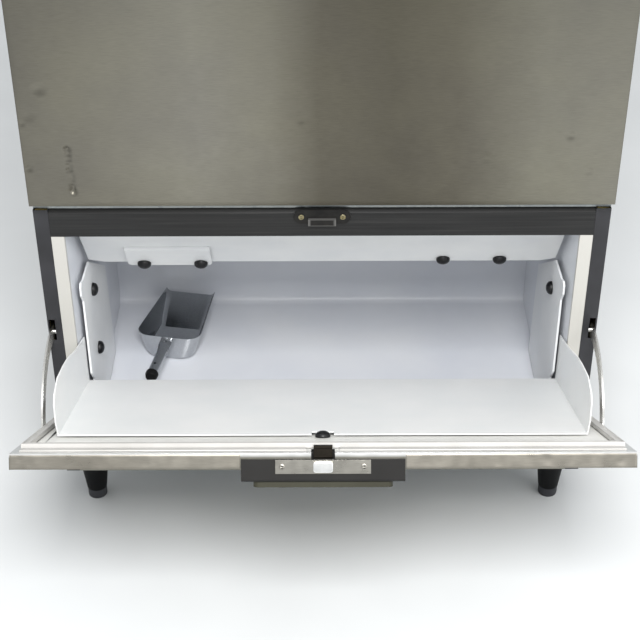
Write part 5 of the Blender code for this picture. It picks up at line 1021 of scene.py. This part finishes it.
# the brightest metal here, its reflections near white
chrome = stainless_sheet("chromed_latch_cover", ("f8f8f6", "fcfcfb"), roughness=(0.16, 0.24),
                         brushing=CHROME_GRAIN)
bpy.ops.mesh.primitive_cube_add(size=1, location=(0, PLATE_MIDDLE, COVER_TOP - COVER_RISE / 2))
cover = bpy.context.object
cover.name = "latch_cover"
cover.scale = (COVER_WIDTH, COVER_DEPTH, COVER_RISE)
settle(cover)
bpy.ops.object.mode_set(mode="EDIT")


def on_cover_corner(edge):
    place = middle(cover, edge)
    return abs(place.x) > COVER_WIDTH / 3 and abs(place.y - PLATE_MIDDLE) > COVER_DEPTH / 3


pick(cover, "EDGE", on_cover_corner)
bpy.ops.mesh.bevel(offset=COVER_CORNER, segments=4)
pick(cover, "FACE", lambda f: f.normal.z > LOOKS_THERE)
bpy.ops.mesh.inset(thickness=COVER_BORDER)
bpy.ops.transform.translate(value=(0, 0, COVER_DOME))
bpy.ops.object.mode_set(mode="OBJECT")
round_edges(cover, COVER_EDGE, segments=2, degrees=30)
on_door(cover)
smooth(cover)
paint(cover, chrome)
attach(cover, "door")
plate_outward = DOOR_FRAME.to_3x3() @ Vector((0, 0, 1))
for name, side in SIDES:
    seat = DOOR_FRAME @ Vector((side * PLATE_SCREW, PLATE_MIDDLE, PLATE_TOP))
    screw(f"latch_screw_{name}", seat, plate_outward, LATCH_SCREW, LATCH_SCREW_RISE, nickel_plate, "door")
# steel with a faint gleam, painted brown-black as painted shade, since the pawl sits in the shade of its
# recess
pawl_shade_steel = stainless_sheet("pawl_steel_painted_shade", ("2a2723", "3a352e"), roughness=(0.35, 0.50),
                                  brushing=EVEN_GRAIN)
stand_for("latch_pawl", "latch_tongue", pawl_shade_steel, LATCH_EDGE)


# ---- Door stays ----
# Curved flat bars of stainless steel run through slots in the posts, and the stud at
# each one's end stops the door at its open angle.
STAY_EDGE = 0.0005

for side in ("left", "right"):
    stand_for(f"{side}_door_stay", f"door_stay_{side}", bright_rim, STAY_EDGE)


# ---- Casing screws ----
# Pan-head steel screws hold the machine's wrap and the bin's wrap along their back and
# sides, and the lid along its turned-down edges.
CASING_SCREW = 0.0048
CASING_SCREW_RISE = 0.0018
CASING_BACK = cad_box[1][1]
CASING_SIDE = cad_box[1][0]
BACK_SCREW_X = (-0.500, 0.0, 0.500)
BACK_SCREW_Z = (0.155, 0.740, 0.815, 1.435)
SIDE_SCREW_Y = (-0.040, 0.220, 0.500)
SIDE_SCREW_Z = (0.155, 0.815)

# turned and left plain, grey with a small bright edge
steel_screw = stainless_sheet("plain_steel_screw", ("a8a59e", "b5b2ab"), roughness=(0.24, 0.34),
                              brushing=EVEN_GRAIN)
for row, z in enumerate(BACK_SCREW_Z, 1):
    for column, x in enumerate(BACK_SCREW_X, 1):
        screw(f"back_screw_{row}_{column}", (x, CASING_BACK, z), (0, 1, 0), CASING_SCREW, CASING_SCREW_RISE,
              steel_screw, "cabinet")
for name, side in SIDES:
    for row, z in enumerate(SIDE_SCREW_Z, 1):
        for column, y in enumerate(SIDE_SCREW_Y, 1):
            screw(f"{name}_screw_{row}_{column}", (side * CASING_SIDE, y, z), (side, 0, 0), CASING_SCREW,
                  CASING_SCREW_RISE, steel_screw, "cabinet")


# ---- Legs ----
# Tapered legs moulded in black polypropylene, each with a foot that is screwed in and
# out to level the machine.
LEG_EDGE = 0.0012

# near black and satin
black_pp = moulded("black_polypropylene", ("0a0b0c", "101112"), grain=0.0015, gloss=(0.52, 0.64),
                   relief=0.0001, clouds=20.0, Specular_IOR_Level=0.15)
# dark grey and satin
foot_pp = moulded("dark_grey_polypropylene", ("35363a", "424347"), grain=0.0015, gloss=(0.48, 0.60),
                  relief=0.0001, clouds=20.0, Specular_IOR_Level=0.3)
for depth in ("front", "rear"):
    for side in ("left", "right"):
        stand_for(f"leg_{depth}_{side}", f"leg_cone_{depth}_{side}", black_pp, LEG_EDGE, segments=3)
        stand_for(f"foot_adjuster_{depth}_{side}", f"levelling_foot_{depth}_{side}", foot_pp, LEG_EDGE)


# ---- Drain, freezing unit and refrigeration set ----
# Inside the machine section: a galvanised frame with the cell evaporator, the tilting
# water tray and its tank, the compressor, condenser, fan and control box.
INNER_EDGE = 0.0008
POT_EDGE = 0.003

paint(nodes["bin_drain_fitting"], dark_abs)
stand_for("freezing_frame", "unit_frame", zinc_sheet, INNER_EDGE)
# pale grey, with soft reflections
tinned_copper = moulded("tinned_copper", ("a9a7a0", "c0beb6"), grain=0.0030, gloss=(0.25, 0.4),
                        relief=0.00005, metallic=1.0)
stand_for("evaporator", "cell_evaporator", tinned_copper, INNER_EDGE)
stand_for("water_tray", "tilting_tray", white_plate, INNER_EDGE)
stand_for("water_tank", "water_trough", white_plate, INNER_EDGE)
# deep black with a clear gloss
black_enamel = moulded("black_stove_enamel", ("0e0e0f", "161617"), grain=0.0020, gloss=(0.18, 0.3),
                       relief=0.00005)
stand_for("compressor", "compressor_pot", black_enamel, POT_EDGE, segments=3)
stand_for("fan_motor", "motor", black_enamel, INNER_EDGE)
# stacked thin fins, pale grey and dull
fins = moulded("aluminium_fin_pack", ("a2a4a3", "b9bbb9"), grain=0.0020, gloss=(0.35, 0.5), relief=0.0002,
               metallic=1.0)
stand_for("condenser", "fin_condenser", fins, INNER_EDGE / 2)
stand_for("fan", "fan_wheel", zinc_sheet, INNER_EDGE / 2)
stand_for("control_box", "control_case", zinc_sheet, INNER_EDGE)
